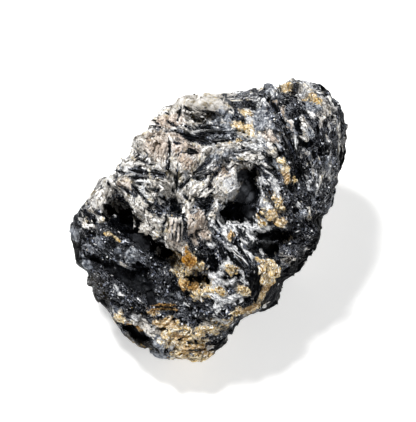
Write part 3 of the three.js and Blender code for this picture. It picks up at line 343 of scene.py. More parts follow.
# %% Mineral map: needles, veins and cracks
STROKES = [
    ("schorl", -7.1, 27.2, -8.1, 23.2, 0.32, 1, -0.3), ("schorl", -6.4, 27, -5.2, 25.6, 0.3, 1, -0.3),
    ("schorl", -10.7, 23.2, -7.4, 21.1, 0.36, 1, -0.3), ("schorl", -14.8, 22.2, -12.5, 22, 0.25, 1, -0.2),
    ("schorl", -12.5, 22, -11.5, 21, 0.25, 1, -0.2), ("schorl", -13.8, 23, -12.3, 22.6, 0.22, 1, -0.2),
    ("schorl", -9.7, 20.6, -5, 19.6, 0.4, 1, -0.3), ("schorl", -7, 19.8, -2, 18.8, 0.8, 1, -0.3),
    ("schorl", -3.4, 18.8, 0.4, 17.4, 0.7, 0.9, -0.3), ("schorl", 0, 18.2, 5, 18.6, 0.45, 0.8, -0.2),
    ("schorl", -2.4, 20.8, 4.4, 19.9, 0.5, 0.7, -0.2), ("schorl", -2, 22.2, 3, 21.6, 0.3, 0.8, -0.2),
    ("schorl", -14.9, 18.8, -13.4, 19.5, 0.3, 1, -0.2), ("schorl", -11, 25.4, -10, 24.7, 0.35, 0.9, -0.2),
    ("schorl", -10.1, 18.7, -9.9, 14.2, 0.36, 1, -0.3), ("schorl", -10, 13.6, -10, 10.3, 0.34, 1, -0.3),
    ("schorl", -9.3, 17.9, -7, 17.6, 0.3, 1, -0.2), ("schorl", -7.6, 15.1, -2.7, 15.3, 0.34, 0.95, -0.2),
    ("schorl", -5.4, 16.5, -2.8, 15.2, 0.36, 0.95, -0.2), ("schorl", -17.8, 14, -14.9, 12.5, 0.32, 1, -0.3),
    ("schorl", -14.9, 12.5, -13.4, 12.2, 0.28, 1, -0.2), ("schorl", -18.8, 13.9, -17.2, 15, 0.18, 1, -0.1),
    ("schorl", -18.6, 13.2, -16.8, 14.2, 0.18, 1, -0.1), ("schorl", -19.8, 11.4, -15, 10.2, 0.8, 1, -0.3),
    ("schorl", -14.6, 10.8, -11, 9.4, 0.9, 1, -0.3), ("schorl", -20, 9.4, -15, 9.1, 0.5, 1, -0.3),
    ("schorl", -5.4, 15.9, -3, 15.1, 0.95, 1, -0.3), ("schorl", -23.8, 11, -20, 10.3, 0.36, 1, -0.3),
    ("schorl", -8.1, 12.2, -8, 5.4, 0.25, 0.9, -0.2), ("schorl", -7.5, 6.4, -4.9, 9.4, 0.6, 1, -0.4),
    ("schorl", -4.4, 9.2, 0.8, 10.6, 1, 1, -0.3), ("schorl", -3.4, 8.8, 0.4, 9.6, 0.5, 0.95, -0.2),
    ("schorl", -4.2, 10.2, -1.2, 13, 0.3, 1, -0.2), ("schorl", -3, 10.4, 0.6, 13.8, 0.22, 1, -0.2),
    ("schorl", -19.2, 7.5, -17.4, 5.2, 0.45, 1, -0.3), ("schorl", -14.6, 6.5, -12.4, 6, 0.36, 1, -0.3),
    ("schorl", -12.6, 4.6, -10, 3, 0.3, 1, -0.2), ("schorl", -21.4, 6.6, -19.4, 5.2, 0.3, 1, -0.2),
    ("schorl", -16.4, 4.6, -14.6, 2.2, 0.4, 0.95, -0.2), ("schorl", -13.6, 2.4, -11.6, 1, 0.4, 0.95, -0.2),
    ("schorl", -6.4, 5.2, -4.8, 3.4, 0.36, 0.95, -0.2), ("schorl", -4, 4.6, -2, 2, 0.4, 0.9, -0.2),
    ("schorl", -10.4, -0.2, -11.7, -4.2, 0.32, 1, -0.5), ("schorl", -9.4, 0.2, -7.4, 1.4, 0.4, 0.95, -0.2),
    ("schorl", -5.6, -1.2, -6, -4.6, 0.25, 1, -0.3), ("schorl", -25.8, 2.6, -24.6, 1, 0.5, 1, -0.2),
    ("schorl", -28.4, 1.2, -25.4, -1, 0.7, 1, 0), ("schorl", -31.6, 1.2, -28.6, -1, 0.5, 1, -0.1),
    # pale splinters between the needles
    ("feldspar", -9.7, 19.7, -6.2, 18.5, 0.3, 1, 0.2), ("feldspar", -4.2, 17.7, -1.5, 15.6, 0.36, 0.9, 0.2),
    ("feldspar", -5, 10.6, -2.4, 14.8, 0.24, 0.9, 0.1), ("feldspar", -3.6, 10.8, -0.8, 15, 0.2, 0.9, 0.1),
    ("feldspar", -2.2, 10.4, 0.4, 13.8, 0.2, 0.9, 0.1), ("feldspar", -1, 10.2, 2.2, 14.4, 0.22, 0.8, 0.1),
    ("albite", -20.4, 10.9, -17.6, 10, 0.2, 0.9, 0), ("albite", -18.6, 8.4, -14.2, 8.2, 0.3, 0.8, 0),
    ("albite", -6.4, 11.6, -5.8, 9, 0.4, 0.8, 0), ("albite", -4.6, 20.2, -1.4, 21.2, 0.2, 0.8, 0),
    ("quartz", -0.4, 19, 3.4, 19.2, 0.2, 0.8, 0), ("quartz", 0.6, 20.9, 4.4, 20.7, 0.2, 0.8, 0),
    ("feldspar", -32.8, -0.8, -30.4, -2.2, 0.5, 1, 0.4), ("feldspar", -28.2, 4.4, -27.4, 2, 0.25, 1, 0.3),
    ("feldspar", -26.6, 4.4, -26.2, 1.6, 0.25, 1, 0.3), ("albite", -4.4, 0.2, -2.6, 1.4, 0.4, 0.8, 0.1),
    # the fibres of the hanging lobe
    ("schorl", -9.9, -1.6, -10.1, -5, 0.16, 0.8, -0.2), ("schorl", -8.9, -1.4, -9.2, -6, 0.16, 0.8, -0.2),
    ("schorl", -7.9, -2, -8.4, -6.6, 0.16, 0.8, -0.2), ("schorl", -7, -1.2, -7.4, -6, 0.18, 0.8, -0.2),
    ("schorl", -4.4, -0.6, -3.6, -1.8, 0.2, 0.8, -0.2), ("schorl", -3.6, -4, -1.6, -3.4, 0.2, 0.8, -0.2),
    # streaks of the middle and the lower right
    ("quartz", 0.7, -5, 3.6, -7.3, 0.18, 1, 0.2), ("albite", 4.6, -8, 9.4, -12, 0.22, 0.95, 0.1),
    ("albite", 3.2, -6.8, 5, -9.2, 0.2, 0.9, 0.1), ("albite", 7.2, -5.6, 9.4, -7.4, 0.3, 0.95, 0.1),
    ("albite", 5.2, -7.4, 7.6, -10, 0.22, 0.8, 0.1), ("albite", 7.4, -10, 9.6, -12.4, 0.22, 0.9, 0.1),
    ("albite", 9.6, -9, 10.4, -11.4, 0.3, 0.8, 0.1), ("schorl", 4, -9.4, 8.6, -13.4, 0.7, 1, -0.3),
    ("schorl", 2, -7.4, 3.8, -11, 0.7, 1, -0.3), ("schorl", 5.6, -6.4, 8.6, -9.4, 0.5, 1, -0.2),
    ("schorl", 8.4, -9.4, 10, -13, 0.6, 1, -0.2), ("schorl", 6, -9, 8, -11, 0.4, 1, -0.2),
    ("albite", 1.6, -24.4, 2.4, -23, 0.3, 0.9, 0), ("quartz", -4.6, -23.6, -3.4, -24.8, 0.25, 0.9, 0),
    ("albite", -6.6, -21.6, -5, -22.6, 0.3, 0.7, 0),
    # dome: the dark band, the pale streak beside it, and two white needles
    ("schorl", 15, 28, 17, 24.6, 0.9, 1, -0.7), ("schorl", 17, 24.6, 18.4, 21.8, 0.9, 1, -0.7),
    ("schorl", 18.4, 21.8, 19.4, 18.8, 0.85, 1, -0.6), ("schorl", 19.4, 18.8, 21, 14.6, 0.8, 1, -0.5),
    ("schorl", 17.4, 19.6, 19.4, 16, 0.6, 0.8, -0.2), ("schorl", 21, 14.6, 23.6, 8, 0.4, 0.8, -0.3),
    ("schorl", 25, 24, 27.4, 16, 0.35, 0.7, -0.2), ("schorl", 29.4, 24, 30.6, 15, 0.35, 0.7, -0.2),
    ("albite", 20.8, 19.4, 20.8, 16.4, 0.3, 1, 0.3), ("feldspar", 20, 18.4, 20.2, 19.4, 0.25, 0.9, 0.1),
    ("albite", 16, 18, 17.2, 15.6, 0.2, 0.9, 0.1), ("feldspar", 22, 15, 22.6, 13.6, 0.25, 0.9, 0.1),
    ("albite", 12.6, 11.6, 15.4, 9.6, 0.22, 0.8, 0.1), ("feldspar", 11.4, 13.6, 15.2, 11.4, 0.25, 0.8, 0.1),
    ("schorl", 5, 15.5, 10.6, 16.1, 0.3, 0.9, -0.2), ("schorl", 6.2, 13.2, 9.4, 13.1, 0.2, 1, -0.2),
    ("schorl", 10, 12.6, 14.6, 10.6, 0.4, 0.8, -0.2), ("schorl", 12.4, 26.8, 12.7, 26.5, 0.5, 1, -0.7),
    ("schorl", 13.6, 25.2, 14.2, 24.4, 0.35, 0.9, -0.3), ("schorl", 19, 30.4, 21.4, 30.2, 0.4, 0.9, -0.3),
    ("schorl", 30.4, 28.4, 32, 25.6, 0.5, 0.5, 0), ("albite", 3.4, 9, 6.2, 5.4, 1.4, 0.7, 0.3),
    # the streak on the terrace, brown plates and cracks at the foot
    ("limonite", -26, -4.2, -24.4, -4.8, 0.5, 0.95, 0.3), ("limonite", -24.4, -5, -22.2, -6.7, 0.28, 1, 0.3),
    ("limonite", -14.6, -22.4, -8, -22.2, 0.25, 0.9, 0.1), ("schorl", -15, -22.8, -8, -22.8, 0.22, 1, -0.3),
    ("limonite", -14, -23.3, -7.8, -23.2, 0.25, 0.8, 0.1), ("schorl", -13.4, -23.8, -7.6, -23.7, 0.2, 1, -0.2),
    ("limonite", -20, -26.6, -16.4, -29, 0.25, 0.9, 0.1), ("schorl", -13, -27.6, -10.4, -28.4, 0.3, 0.9, -0.3),
    ("schorl", -8, -31, -6.8, -30.6, 0.3, 0.6, -0.3), ("schorl", -5.2, -33.8, -2, -33.5, 0.25, 0.7, -0.3),
    ("schorl", -11.4, -34.4, -10.6, -33, 0.4, 0.9, -0.2),
]
print("needles, veins and cracks:", len(STROKES))

# %% [markdown]
# The rest of the map has no mineral of its own. Some faces broke cleanly across their crystals and are nearly smooth.
# Limonite is deep orange brown in places, dirt and painted shade darken everything to olive, and some feldspar is
# flesh-coloured.

# %% Mineral map: smooth breaks, stains and painted shade
# from a, b, to a, b, half width, cover
CALM = [
    (-6, 29, 2.2, 28.4, 2.9, 0.95), (7.4, 9.4, 8.4, 5, 1.7, 0.95), (9, 1.4, 11, -0.4, 1, 0.5),
    (4, 9, 5.2, 5.6, 1.4, 0.6), (-18, -4.4, -16.4, -7, 1.6, 0.4), (10.6, -6, 10.2, -7, 0.8, 0.6),
    (14, -6.6, 14.2, -7, 1, 0.7), (-13.6, 17.2, -12.6, 17, 1.8, 0.5), (-25, -12.8, -20, -15.2, 1, 0.2),
    (-20, -15.2, -15.6, -18, 1.6, 0.2), (-15.6, -18, -13.8, -21, 1, 0.2), (15, -21.4, 16.4, -18.6, 1.4, 0.2),
    (-17, -28, -14, -27, 1.5, 0.4), (-12.6, -31, -12, -32, 1.6, 0.3),
]
RUST = [
    (-6.4, -8.8, -4.6, -11.4, 1.2, 1), (-5.4, -17, -4, -17.6, 1, 0.9), (-6.4, -34, -1, -33.6, 0.9, 0.5),
    (-8.4, -30, -6.6, -30.6, 0.7, 0.6), (-15, -22.8, -7.6, -22.8, 1, 0.9), (16, 0, 18, -1.6, 1.4, 0.25),
    (18, 9.6, 18.6, 8.6, 0.8, 0.5), (13, -18, 15.6, -18, 0.6, 0.6), (-13, -26, -9.4, -26.8, 1, 0.4),
    (-20, -26.6, -16.4, -29, 0.6, 0.9), (7, -23.6, 11, -22, 0.6, 0.6), (7, -15.4, 9.6, -15.2, 0.5, 0.8),
    (-6.6, -17.4, -6.2, -18.4, 0.8, 0.7), (4, -5, 5, -5.4, 0.8, 0.6),
]
# olive-brown dirt, and painted shade: in the cave, under the pale block, the lobes and the ochre knobs, and on the
# shadowed lower flanks and rims
DIRT_AND_PAINTED_SHADE = [
    (-23, 1.6, -20, 0, 1.6, 0.8), (-9, -11, -7.6, -13.4, 1.4, 0.8), (-3.4, -16.6, -0.6, -16.4, 0.6, 0.7),
    (-29, -17, -26, -22, 1.8, 0.5), (-21, -31, -16, -33.4, 1.2, 0.7), (13, -21.6, 5, -25.6, 0.9, 0.45),
    (-5, 25.4, -1, 24.8, 1.6, 0.7), (-18.2, 19.2, -17, 19, 0.7, 0.6), (-13, -6.4, -10.8, -8.5, 0.6, 0.5),
    (-3.4, -14.2, -0.8, -14.4, 0.6, 0.5), (14, -6.8, 16, -7, 1, 0.2), (-28, 3.6, -26, 2, 1.4, 0.25),
    (-23.6, -5, -22, -6.4, 0.4, 0.2),
]
FLESH = [
    (-12, 22.9, -8, 23.4, 1.4, 1), (-13.4, 18, -11.6, 16.4, 2.4, 0.8), (-9, 16.8, -4, 16, 1.4, 1),
    (-7, 14.6, -5.4, 12.4, 1.4, 1), (-3.2, -1, -2.6, -5, 2, 0.9), (2.6, 11.2, 3, 10.4, 1.2, 1),
    (16, 27.4, 20, 20.6, 1, 0.9), (14, 19.2, 15.6, 18.4, 1.2, 0.8), (-21, 8, -20.4, 7.4, 1, 0.8),
    (-9.7, 19.7, -6.2, 18.5, 0.6, 1), (-8.6, -3, -8, -6, 1.6, 0.6),
]
print("smooth breaks and stains:", len(CALM), len(RUST), len(DIRT_AND_PAINTED_SHADE), len(FLESH))

# %% [markdown]
# ## Reading the map
# A mark is a thick line, and its cover falls off over a ragged edge, because minerals never meet along a ruled line.
# Patches are also warped by noise, so that they don't look like the sausages they are. The map ends behind the rim of
# the show face. The hidden sides carry on with the same minerals in patches of noise.

# %% Reading the map
RIM_DEPTHS = (-13, -7)  # mm, the levels between which the map gives way to the hidden sides


def mark_cover(points, mark, ragged, edge=0.25, taper=0.0):
    """How fully a mark covers each point, from 0 to 1, with a ragged edge and ends drawn to a point."""
    start, end = np.array(mark[:2], float), np.array(mark[2:4], float)
    half_width, cover = mark[4:6]
    run = end - start
    away = points[:, :2] - start
    t = np.clip(away @ run / max(run @ run, 1e-9), 0, 1)
    width = half_width * (1.2 - taper * np.abs(2 * t - 1) ** 2)
    distance = np.linalg.norm(away - t[:, None] * run, axis=1) / width
    return cover * (1 - smoothstep(1 - edge, 1 + edge, distance + ragged))


def highest_cover(points, marks, ragged, edge):
    """The highest cover that any of the marks gives each point."""
    total = np.zeros(len(points))
    for mark in marks:
        total = np.maximum(total, mark_cover(points, mark, ragged, edge))
    return total


def warped(points, amount):
    """Points pushed about by noise, so that patches get irregular outlines."""
    pushed = points.copy()
    for axis in range(2):
        pushed[:, axis] += amount * (noise3(points, 2.4, 3 + axis) + 0.5 * noise3(points, 0.9, 8 + axis))
    return pushed


def on_face(points):
    """1 on the show face, 0 well behind its rim."""
    return smoothstep(*RIM_DEPTHS, points[:, 2])


# %% [markdown]
# The mix of minerals at a point is five shares that add up to one. Laying a mark over it is like laying a coat of
# paint: the mark takes its cover, and what was there keeps the rest.

# %% Shares, stains and lifts
PATCH_WARP = 0.45  # mm
# behind the face: mineral, size of its patches in mm, noise level where they start, cover, salt
HIDDEN_PATCHES = [
    ("feldspar", 13, 0.18, 0.75, 21), ("albite", 7, 0.34, 0.6, 22), ("limonite", 9, 0.42, 0.85, 23),
    ("quartz", 6, 0.5, 0.8, 24), ("schorl", 4, 0.3, 0.8, 25),
]


def overlaid(mix, mineral, cover):
    """The mix with one mineral laid over it."""
    return mix * (1 - cover[:, None]) + cover[:, None] * np.eye(len(MINERALS))[MINERALS.index(mineral)]


def lay(mix, points, marks, ragged, edge=0.25, taper=0.2):
    """Lays the marks over the mix of minerals, one after another."""
    for mark in marks:
        mix = overlaid(mix, mark[0], mark_cover(points, mark[1:7], ragged, edge, taper) * on_face(points))
    return mix


def mineral_mix(points):
    """The share of each mineral at each point: one row per point, one column per mineral."""
    ragged = 0.25 * noise3(points, 1.3, 9) + 0.2 * noise3(points, 0.7, 10)
    hidden = np.tile(GROUND_MIX, (len(points), 1))
    for mineral, size, above, cover, salt in HIDDEN_PATCHES:
        noisy = noise3(points, size, salt) + ragged
        hidden = overlaid(hidden, mineral, cover * smoothstep(above, above + 0.18, noisy) * (1 - on_face(points)))
    return lay(hidden, warped(points, PATCH_WARP), BROAD + PATCHES, ragged)


def stain(points, marks, salt):
    """Rust, dirt and painted shade, or flesh colour at each point, from 0 to 1: marks on the show face, noise behind
    it.
    """
    shown = highest_cover(warped(points, PATCH_WARP), marks, 0.22 * noise3(points, 1.3, 9), 0.4)
    hidden = 0.7 * smoothstep(0.05, 0.5, noise3(points, 6, salt))
    return shown * on_face(points) + hidden * (1 - on_face(points))


def lift(points, marks, warp, edge):
    """How far the marks stand out of the rock, mm."""
    place, ragged = warped(points, warp), 0.15 * noise3(points, 1.6, 41)
    total = np.zeros(len(points))
    for mark in marks:
        if mark[7]:
            total += mark[7] * mark_cover(place, (*mark[1:6], 1), ragged, edge) * on_face(points)
    return total


# %% [markdown]
# ## Which way the crystals run
# Schorl grows as long needles, and needles that grew together lie nearly side by side. The flags below give the
# direction at a few places, and a point between them takes a blend. Angles that differ by half a turn mean the same
# direction, so the blend is made on the doubled angle.

# %% Crystal directions
# a, b, angle in degrees
FLAGS = np.array([
    (-13, 22, -30), (-9, 24, -50), (-10, 15, 85), (-16, 10, -16), (-21, 10, -18), (-11, 4, -50), (-14, -3, -36),
    (-8, -4, 66), (-3, 10, 57), (2, 13, 55), (1, 4, 52), (-2, 19, -12), (4, 18, -6), (10, 17, -14), (8, 23, -25),
    (14, 22, -70), (17, 24, -62), (20, 16, -62), (24, 27, -50), (29, 19, -68), (28, 9, -76), (24, 0, -58),
    (16, 3, -68), (4, -8, -49), (9, -10, -50), (-1, -8, -66), (-1, -14, -85), (12, -16, -82), (3, -17, -18),
    (3, -22, -32), (-5, -30, 8), (-10, -24, 2), (8, -23, 30), (-26, -8, -32), (-20, -11, -36), (-18, -17, -45),
    (-25, -19, -48), (-11, -15, -62), (-27, 0, -46), (-32, -2, -46), (-27, 5, 75), (20, -8, -20), (-16, -28, -30),
], float)
FLAG_REACH = 3  # mm2; a flag's pull levels off within about this distance, squared


def grain_direction(points, normals):
    """A unit vector in the surface at each point, along the crystals that grow there."""
    angle = np.radians(FLAGS[:, 2])
    distance = np.hypot(points[:, None, 0] - FLAGS[:, 0], points[:, None, 1] - FLAGS[:, 1])
    weight = 1 / (distance**2 + FLAG_REACH) ** 2
    doubled = np.arctan2(weight @ np.sin(2 * angle), weight @ np.cos(2 * angle))
    shown = np.column_stack([np.cos(doubled / 2), np.sin(doubled / 2), np.zeros(len(points))])
    hidden = np.column_stack([noise3(points, 15, 31 + axis) for axis in range(3)]) + [0.2, 0.5, 0.5]
    way = np.where(on_face(points)[:, None] > 0.5, shown, hidden)
    way -= (way * normals).sum(1, keepdims=True) * normals
    return way / np.maximum(np.linalg.norm(way, axis=1, keepdims=True), 1e-9)


# %% [markdown]
# ## The outline of the show face
# The small steps and notches of the rim are what the eye compares first. The solid has them to within a millimetre,
# since its grid is coarse. The rim is drawn here more closely, and the skin is drawn in or let out to meet it. The
# move is a share of the distance from the middle. It is held to eight hundredths, and fades out inside the rim and
# down towards the floor, so that the skin stays close to the solid that it stands for. The ledges and crystals that
# come next move the rim again, so it is met once more at the end.

# %% The outline of the show face
# corners in face millimetres, counter-clockwise from the pale block at the top
OUTLINE = np.array([
    (0, 30.3), (-7, 30), (-8.7, 28.4), (-11.5, 27.1), (-13.6, 24.9), (-15.2, 22.2), (-19.2, 19.4), (-20, 15.2),
    (-22.2, 13), (-24.4, 9.9), (-28.2, 8.5), (-29.6, 5.2), (-32, 2.2), (-34.9, -2), (-35, -5), (-33.9, -8.5),
    (-33.5, -12), (-30.6, -14.5), (-29.7, -17.4), (-28.5, -21), (-25.3, -24.1), (-23.2, -28), (-20.4, -31.2),
    (-15.2, -34.2), (-12.9, -36), (-5.5, -36), (-3, -36.8), (0, -35.4), (3.2, -32.8), (6.4, -27.7), (9.5, -24.6),
    (14.2, -24.2), (17, -22.5), (18.8, -16.3), (23, -13.8), (27.2, -7.4), (28.1, -3), (27.8, -1), (30.5, 2),
    (32, 10), (33.8, 15), (34.1, 20), (33.7, 24.6), (32.1, 28.2), (29.8, 30.6), (27, 32.6), (21.2, 34.2),
    (18.2, 32.2), (15, 32.9), (12.2, 31.7), (5, 30.5),
])
MIDDLE = np.array([0.0, -1.0])
BINS = 240
RIM_BEGINS = 0.72  # share of the way out at which the move starts
FLOOR_FADE = (0.1, 2.2)  # mm over the resting flat, between which the move fades in


def radius_by_angle(points):
    """How far out from the middle the points reach in each bin of angle, and each point's radius and angle."""
    arm = points[:, :2] - MIDDLE
    angle = np.arctan2(arm[:, 1], arm[:, 0])
    number = ((angle / (2 * np.pi)) % 1 * BINS).astype(int) % BINS
    radius = np.linalg.norm(arm, axis=1)
    reach = np.zeros(BINS)
    np.maximum.at(reach, number, radius)
    return reach, radius, angle


steps = np.linspace(0, 1, 60, endpoint=False)[:, None]
drawn = np.concatenate([
    start * (1 - steps) + end * steps for start, end in zip(OUTLINE, np.roll(OUTLINE, -1, axis=0))])
drawn_reach = radius_by_angle(drawn)[0]


def fit_outline(points, inset, most):
    """Moves the rim to the drawn outline less an inset in mm, by at most a share of its radius.

    Also tells how near the rim each point is, from 0 in the middle to 1.
    """
    reach, radius, angle = radius_by_angle(points)
    change = (drawn_reach - inset) / reach
    change = np.clip(sum(np.roll(change, shift) for shift in (-1, 0, 1)) / 3, 1 - most, 1 + most)
    at_bin = angle / (2 * np.pi) % 1 * BINS - 0.5
    nearby = np.floor(at_bin).astype(int) % BINS
    part_way = at_bin % 1
    factor = change[nearby] * (1 - part_way) + change[(nearby + 1) % BINS] * part_way
    nearness = radius / reach[nearby]
    share = smoothstep(RIM_BEGINS, 1, nearness) * smoothstep(*FLOOR_FADE, part_height(points))
    moved = points.copy()
    moved[:, :2] = MIDDLE + (points[:, :2] - MIDDLE) * (1 + (factor - 1) * share)[:, None]
    print("outline moved by up to, mm:", round(float(np.abs((factor - 1) * share * radius).max()), 2))
    return moved, nearness


skin, nearness = fit_outline(skin, inset=0.25, most=0.08)
out = vertex_normals(skin, quads)

# %% [markdown]
# ## Ledges
# Three kinds of relief go onto the skin. The first is ledges, where the rock split. Noise would give rolling hills.
# Here the surface is divided into cells a few millimetres across, and each cell is flat with a tilt of its own.

# %% Ledges
def nearest(seeds, points, count, cube=0.001):
    """The nearest few seeds to each point, as an array of their numbers. Points in one cube share an answer."""
    tree = kdtree.KDTree(len(seeds))
    for number, seed in enumerate(seeds):
        tree.insert(seed, number)
    tree.balance()
    cubes, which = np.unique(np.round(points / cube).astype(np.int64), axis=0, return_inverse=True)
    found = [[near[1] for near in tree.find_n(centre, count)] for centre in (cubes * cube).tolist()]
    return np.array(found)[which.ravel()]


def ledges(points, spacing, slope, salt):
    """Flat facets about spacing across, each with a tilt of its own."""
    chooser = np.random.default_rng(salt)
    count = int(len(points) * (VOXEL / spacing) ** 2)
    seeds = points[chooser.choice(len(points), count, replace=False)]
    tried = nearest(seeds.tolist(), points, 6, spacing / 4)
    close = ((points[:, None] - seeds[tried]) ** 2).sum(2).argmin(1)
    cell = tried[np.arange(len(points)), close]
    tilt = chooser.normal(0, slope, (count, 3))
    step = chooser.normal(0, slope * spacing * 0.12, count)
    return ((points - seeds[cell]) * tilt[cell]).sum(1) + step[cell]


skin_mix = mineral_mix(skin)
# Relief fades out on the flat that the lump rests on.
free = smoothstep(0.1, 1.6, part_height(skin))
relief = ledges(skin, spacing=5.5, slope=0.17, salt=51) + ledges(skin, spacing=2.6, slope=0.09, salt=52)
# On the underside a ledge may not reach the floor, or it would be pressed flat into a thin flap there.
facing_down = -(out @ FACE_AXES.T)[:, 2]
relief = np.minimum(relief, 0.5 * part_height(skin) / np.maximum(facing_down, 0.1))
rough = skin + out * (relief * free)[:, None]
print("ledges, mm:", round(float(relief.min()), 2), "to", round(float(relief.max()), 2))

# %% [markdown]
# ## Flat faces, hollows and plateaus
# Feldspar cleaves, so a few of its faces are flat over centimetres. Each is a plane with an outline, and the skin is
# pulled to it within reason. Everything that the map lifts or sinks is added after that.

# %% Flat faces, hollows and plateaus
# corners clockwise round the face, rise along a, rise along b, and how far it stands out in mm
FACES = [
    # the pale block on the top edge, and the brown wall under it
    ([(-8.75, 29), (-6.5, 30.9), (-3, 31.2), (2.4, 30.6), (4.1, 26.5), (0, 25.2), (-2.75, 26), (-6.5, 27.5)],
     -0.03, -0.2, 0.1),
    ([(-6.5, 27.5), (-2.75, 26), (0, 25.2), (-1.6, 23.4), (-3.2, 22.8), (-5.8, 22.6)], 0.1, 0.5, -0.7),
    # the cream lip of the hollow, and the large plate of the slab
    ([(2, 10), (5, 9.9), (6, 7.8), (7.1, 6), (6.4, 4.2), (3.5, 3.6), (1.2, 5.2), (2.1, 7.5)], 0.0, 0.06, 0.8),
    ([(-18.3, 14.6), (-17.6, 18), (-14.4, 19.3), (-12.1, 17.6), (-12.5, 14.6), (-15.4, 13.7)], 0.1, -0.08, 0.3),
]
DEEPEST_CUT, HIGHEST_FILL = -1.6, 0.5  # mm that the skin may be pulled in or out to a flat face


def depth_inside(points, outline):
    """How far each point lies within a clockwise outline, mm, and below 0 outside it."""
    outline = np.array(outline)
    depth = np.full(len(points), 1e9)
    for start, end in zip(outline, np.roll(outline, -1, axis=0)):
        run = (end - start) / np.linalg.norm(end - start)
        away = points[:, :2] - start
        depth = np.minimum(depth, run[1] * away[:, 0] - run[0] * away[:, 1])
    return depth


for outline, along_a, along_b, stands_out in FACES:
    on = smoothstep(-0.35, 0.25, depth_inside(skin + 0.25 * noise3(skin, 2.2, 44)[:, None], outline))
    on = on * smoothstep(0.2, 0.6, out[:, 2]) * on_face(skin)
    middle = (skin * on[:, None]).sum(0) / on.sum()
    plane = middle[2] + stands_out + (skin[:, 0] - middle[0]) * along_a + (skin[:, 1] - middle[1]) * along_b
    rough[:, 2] += np.clip(plane - rough[:, 2], DEEPEST_CUT, HIGHEST_FILL) * on
rough[:, 2] += lift(skin, PATCHES, warp=0.45, edge=0.4) * free
rough_out = vertex_normals(rough, quads)
print("flat faces:", len(FACES))

# %% [markdown]
# ## Streaks along the grain
# Neighbouring crystals along the grain are often the same mineral, which gives the streaks and veins of one to four
# millimetres. Random numbers averaged along the grain and then ranked keep each mineral's share right.

# %% Streaks along the grain
STREAK_LENGTH = 2.6  # mm
STREAK_WIDTH = 0.8  # mm
STREAK_NEIGHBOURS = 26  # crystals that share their random numbers
rng = np.random.default_rng(11)


def streaks(places, ways, outs):
    """A number from 0 to 1 for each place, evenly spread overall but alike along the grain."""
    close = nearest(places.tolist(), places, STREAK_NEIGHBOURS)
    away = places[close] - places[:, None]
    u = (away * ways[:, None]).sum(2) / STREAK_LENGTH
    v = (away * np.cross(outs, ways)[:, None]).sum(2) / STREAK_WIDTH
    weight = np.exp(-u * u - v * v)
    value = rng.normal(0, 1, len(places))
    smooth = (value[close] * weight).sum(1) / np.sqrt((weight**2).sum(1)) + 0.35 * rng.normal(0, 1, len(places))
    return np.argsort(np.argsort(smooth)) / len(places)


# %% [markdown]
# ## The crystals in the surface
# The whole surface is made of crystals, more than twenty thousand of them, and a sculptor's brush could never place
# them all. Each one gets a seed on the skin, a mineral from the map, a direction, a size and a height. A mineral's
# habit is its usual form: schorl is long and narrow, feldspar broad, limonite blocky and uneven.

# %% Choose the crystals
CRYSTAL_SPACING = 0.85  # mm between the middles of neighbouring crystals
SWING = 20  # degrees that crystals lie off the common direction
SIZE_SPREAD = 0.36
SUNK = 0.3  # mm that crystals lie below the skin on average

# half length and half width in mm, roof height in mm, slope along, slope across, spread of heights in mm, taper
HABIT = {
    "schorl": (1.2, 0.36, 0.15, 0.1, 0.2, 0.16, 0.8),
    "feldspar": (1.9, 0.52, 0.0, 0.14, 0.3, 0.17, 0.8),
    "albite": (0.8, 0.36, 0.1, 0.2, 0.3, 0.16, 0.6),
    "limonite": (0.8, 0.36, 0.12, 0.3, 0.3, 0.26, 0.5),
    "quartz": (0.8, 0.7, 0.05, 0.2, 0.2, 0.24, 0.3),
}

count = int(len(rough) * (VOXEL / CRYSTAL_SPACING) ** 2)
chosen = rng.choice(len(rough), count, replace=False)
seed_at, seed_out = rough[chosen], rough_out[chosen]
along = grain_direction(skin[chosen], seed_out)
draw = streaks(seed_at, along, seed_out)
seed_mineral = (draw[:, None] > np.cumsum(mineral_mix(skin[chosen]), 1)[:, :-1]).sum(1)
habit = np.array([HABIT[mineral] for mineral in MINERALS])[seed_mineral]
swing = np.radians(rng.normal(0, SWING, count))[:, None]
beside = np.cross(seed_out, along)
along, beside = (
    along * np.cos(swing) + beside * np.sin(swing),
    beside * np.cos(swing) - along * np.sin(swing),
)
size = rng.lognormal(0, SIZE_SPREAD, count)
half_length, half_width = habit[:, 0] * size, habit[:, 1] * size
slope = habit[:, 3:5] * rng.normal(0, 1, (count, 2))
level = habit[:, 5] * rng.normal(0, 1, count) - SUNK
for number, mineral in enumerate(MINERALS):
    print(f"{mineral}: {int((seed_mineral == number).sum())} crystals in the surface")

# %% [markdown]
# The crystals lie over one another like tiles, so at each point the highest of those nearby is the one that shows.
# Each is a low roof that falls away steeply past its ends and sides. Where the second highest is nearly as high, two
# crystals meet, and between some of them a crack is painted into the colour as shade.

# %% Let the highest crystal show
CRYSTALS_TRIED = 32  # how many crystals near a point may be the one that shows there
STEEPNESS = 2.2  # how fast the side of a crystal falls away, mm per mm
MOST_RELIEF = 0.9  # mm

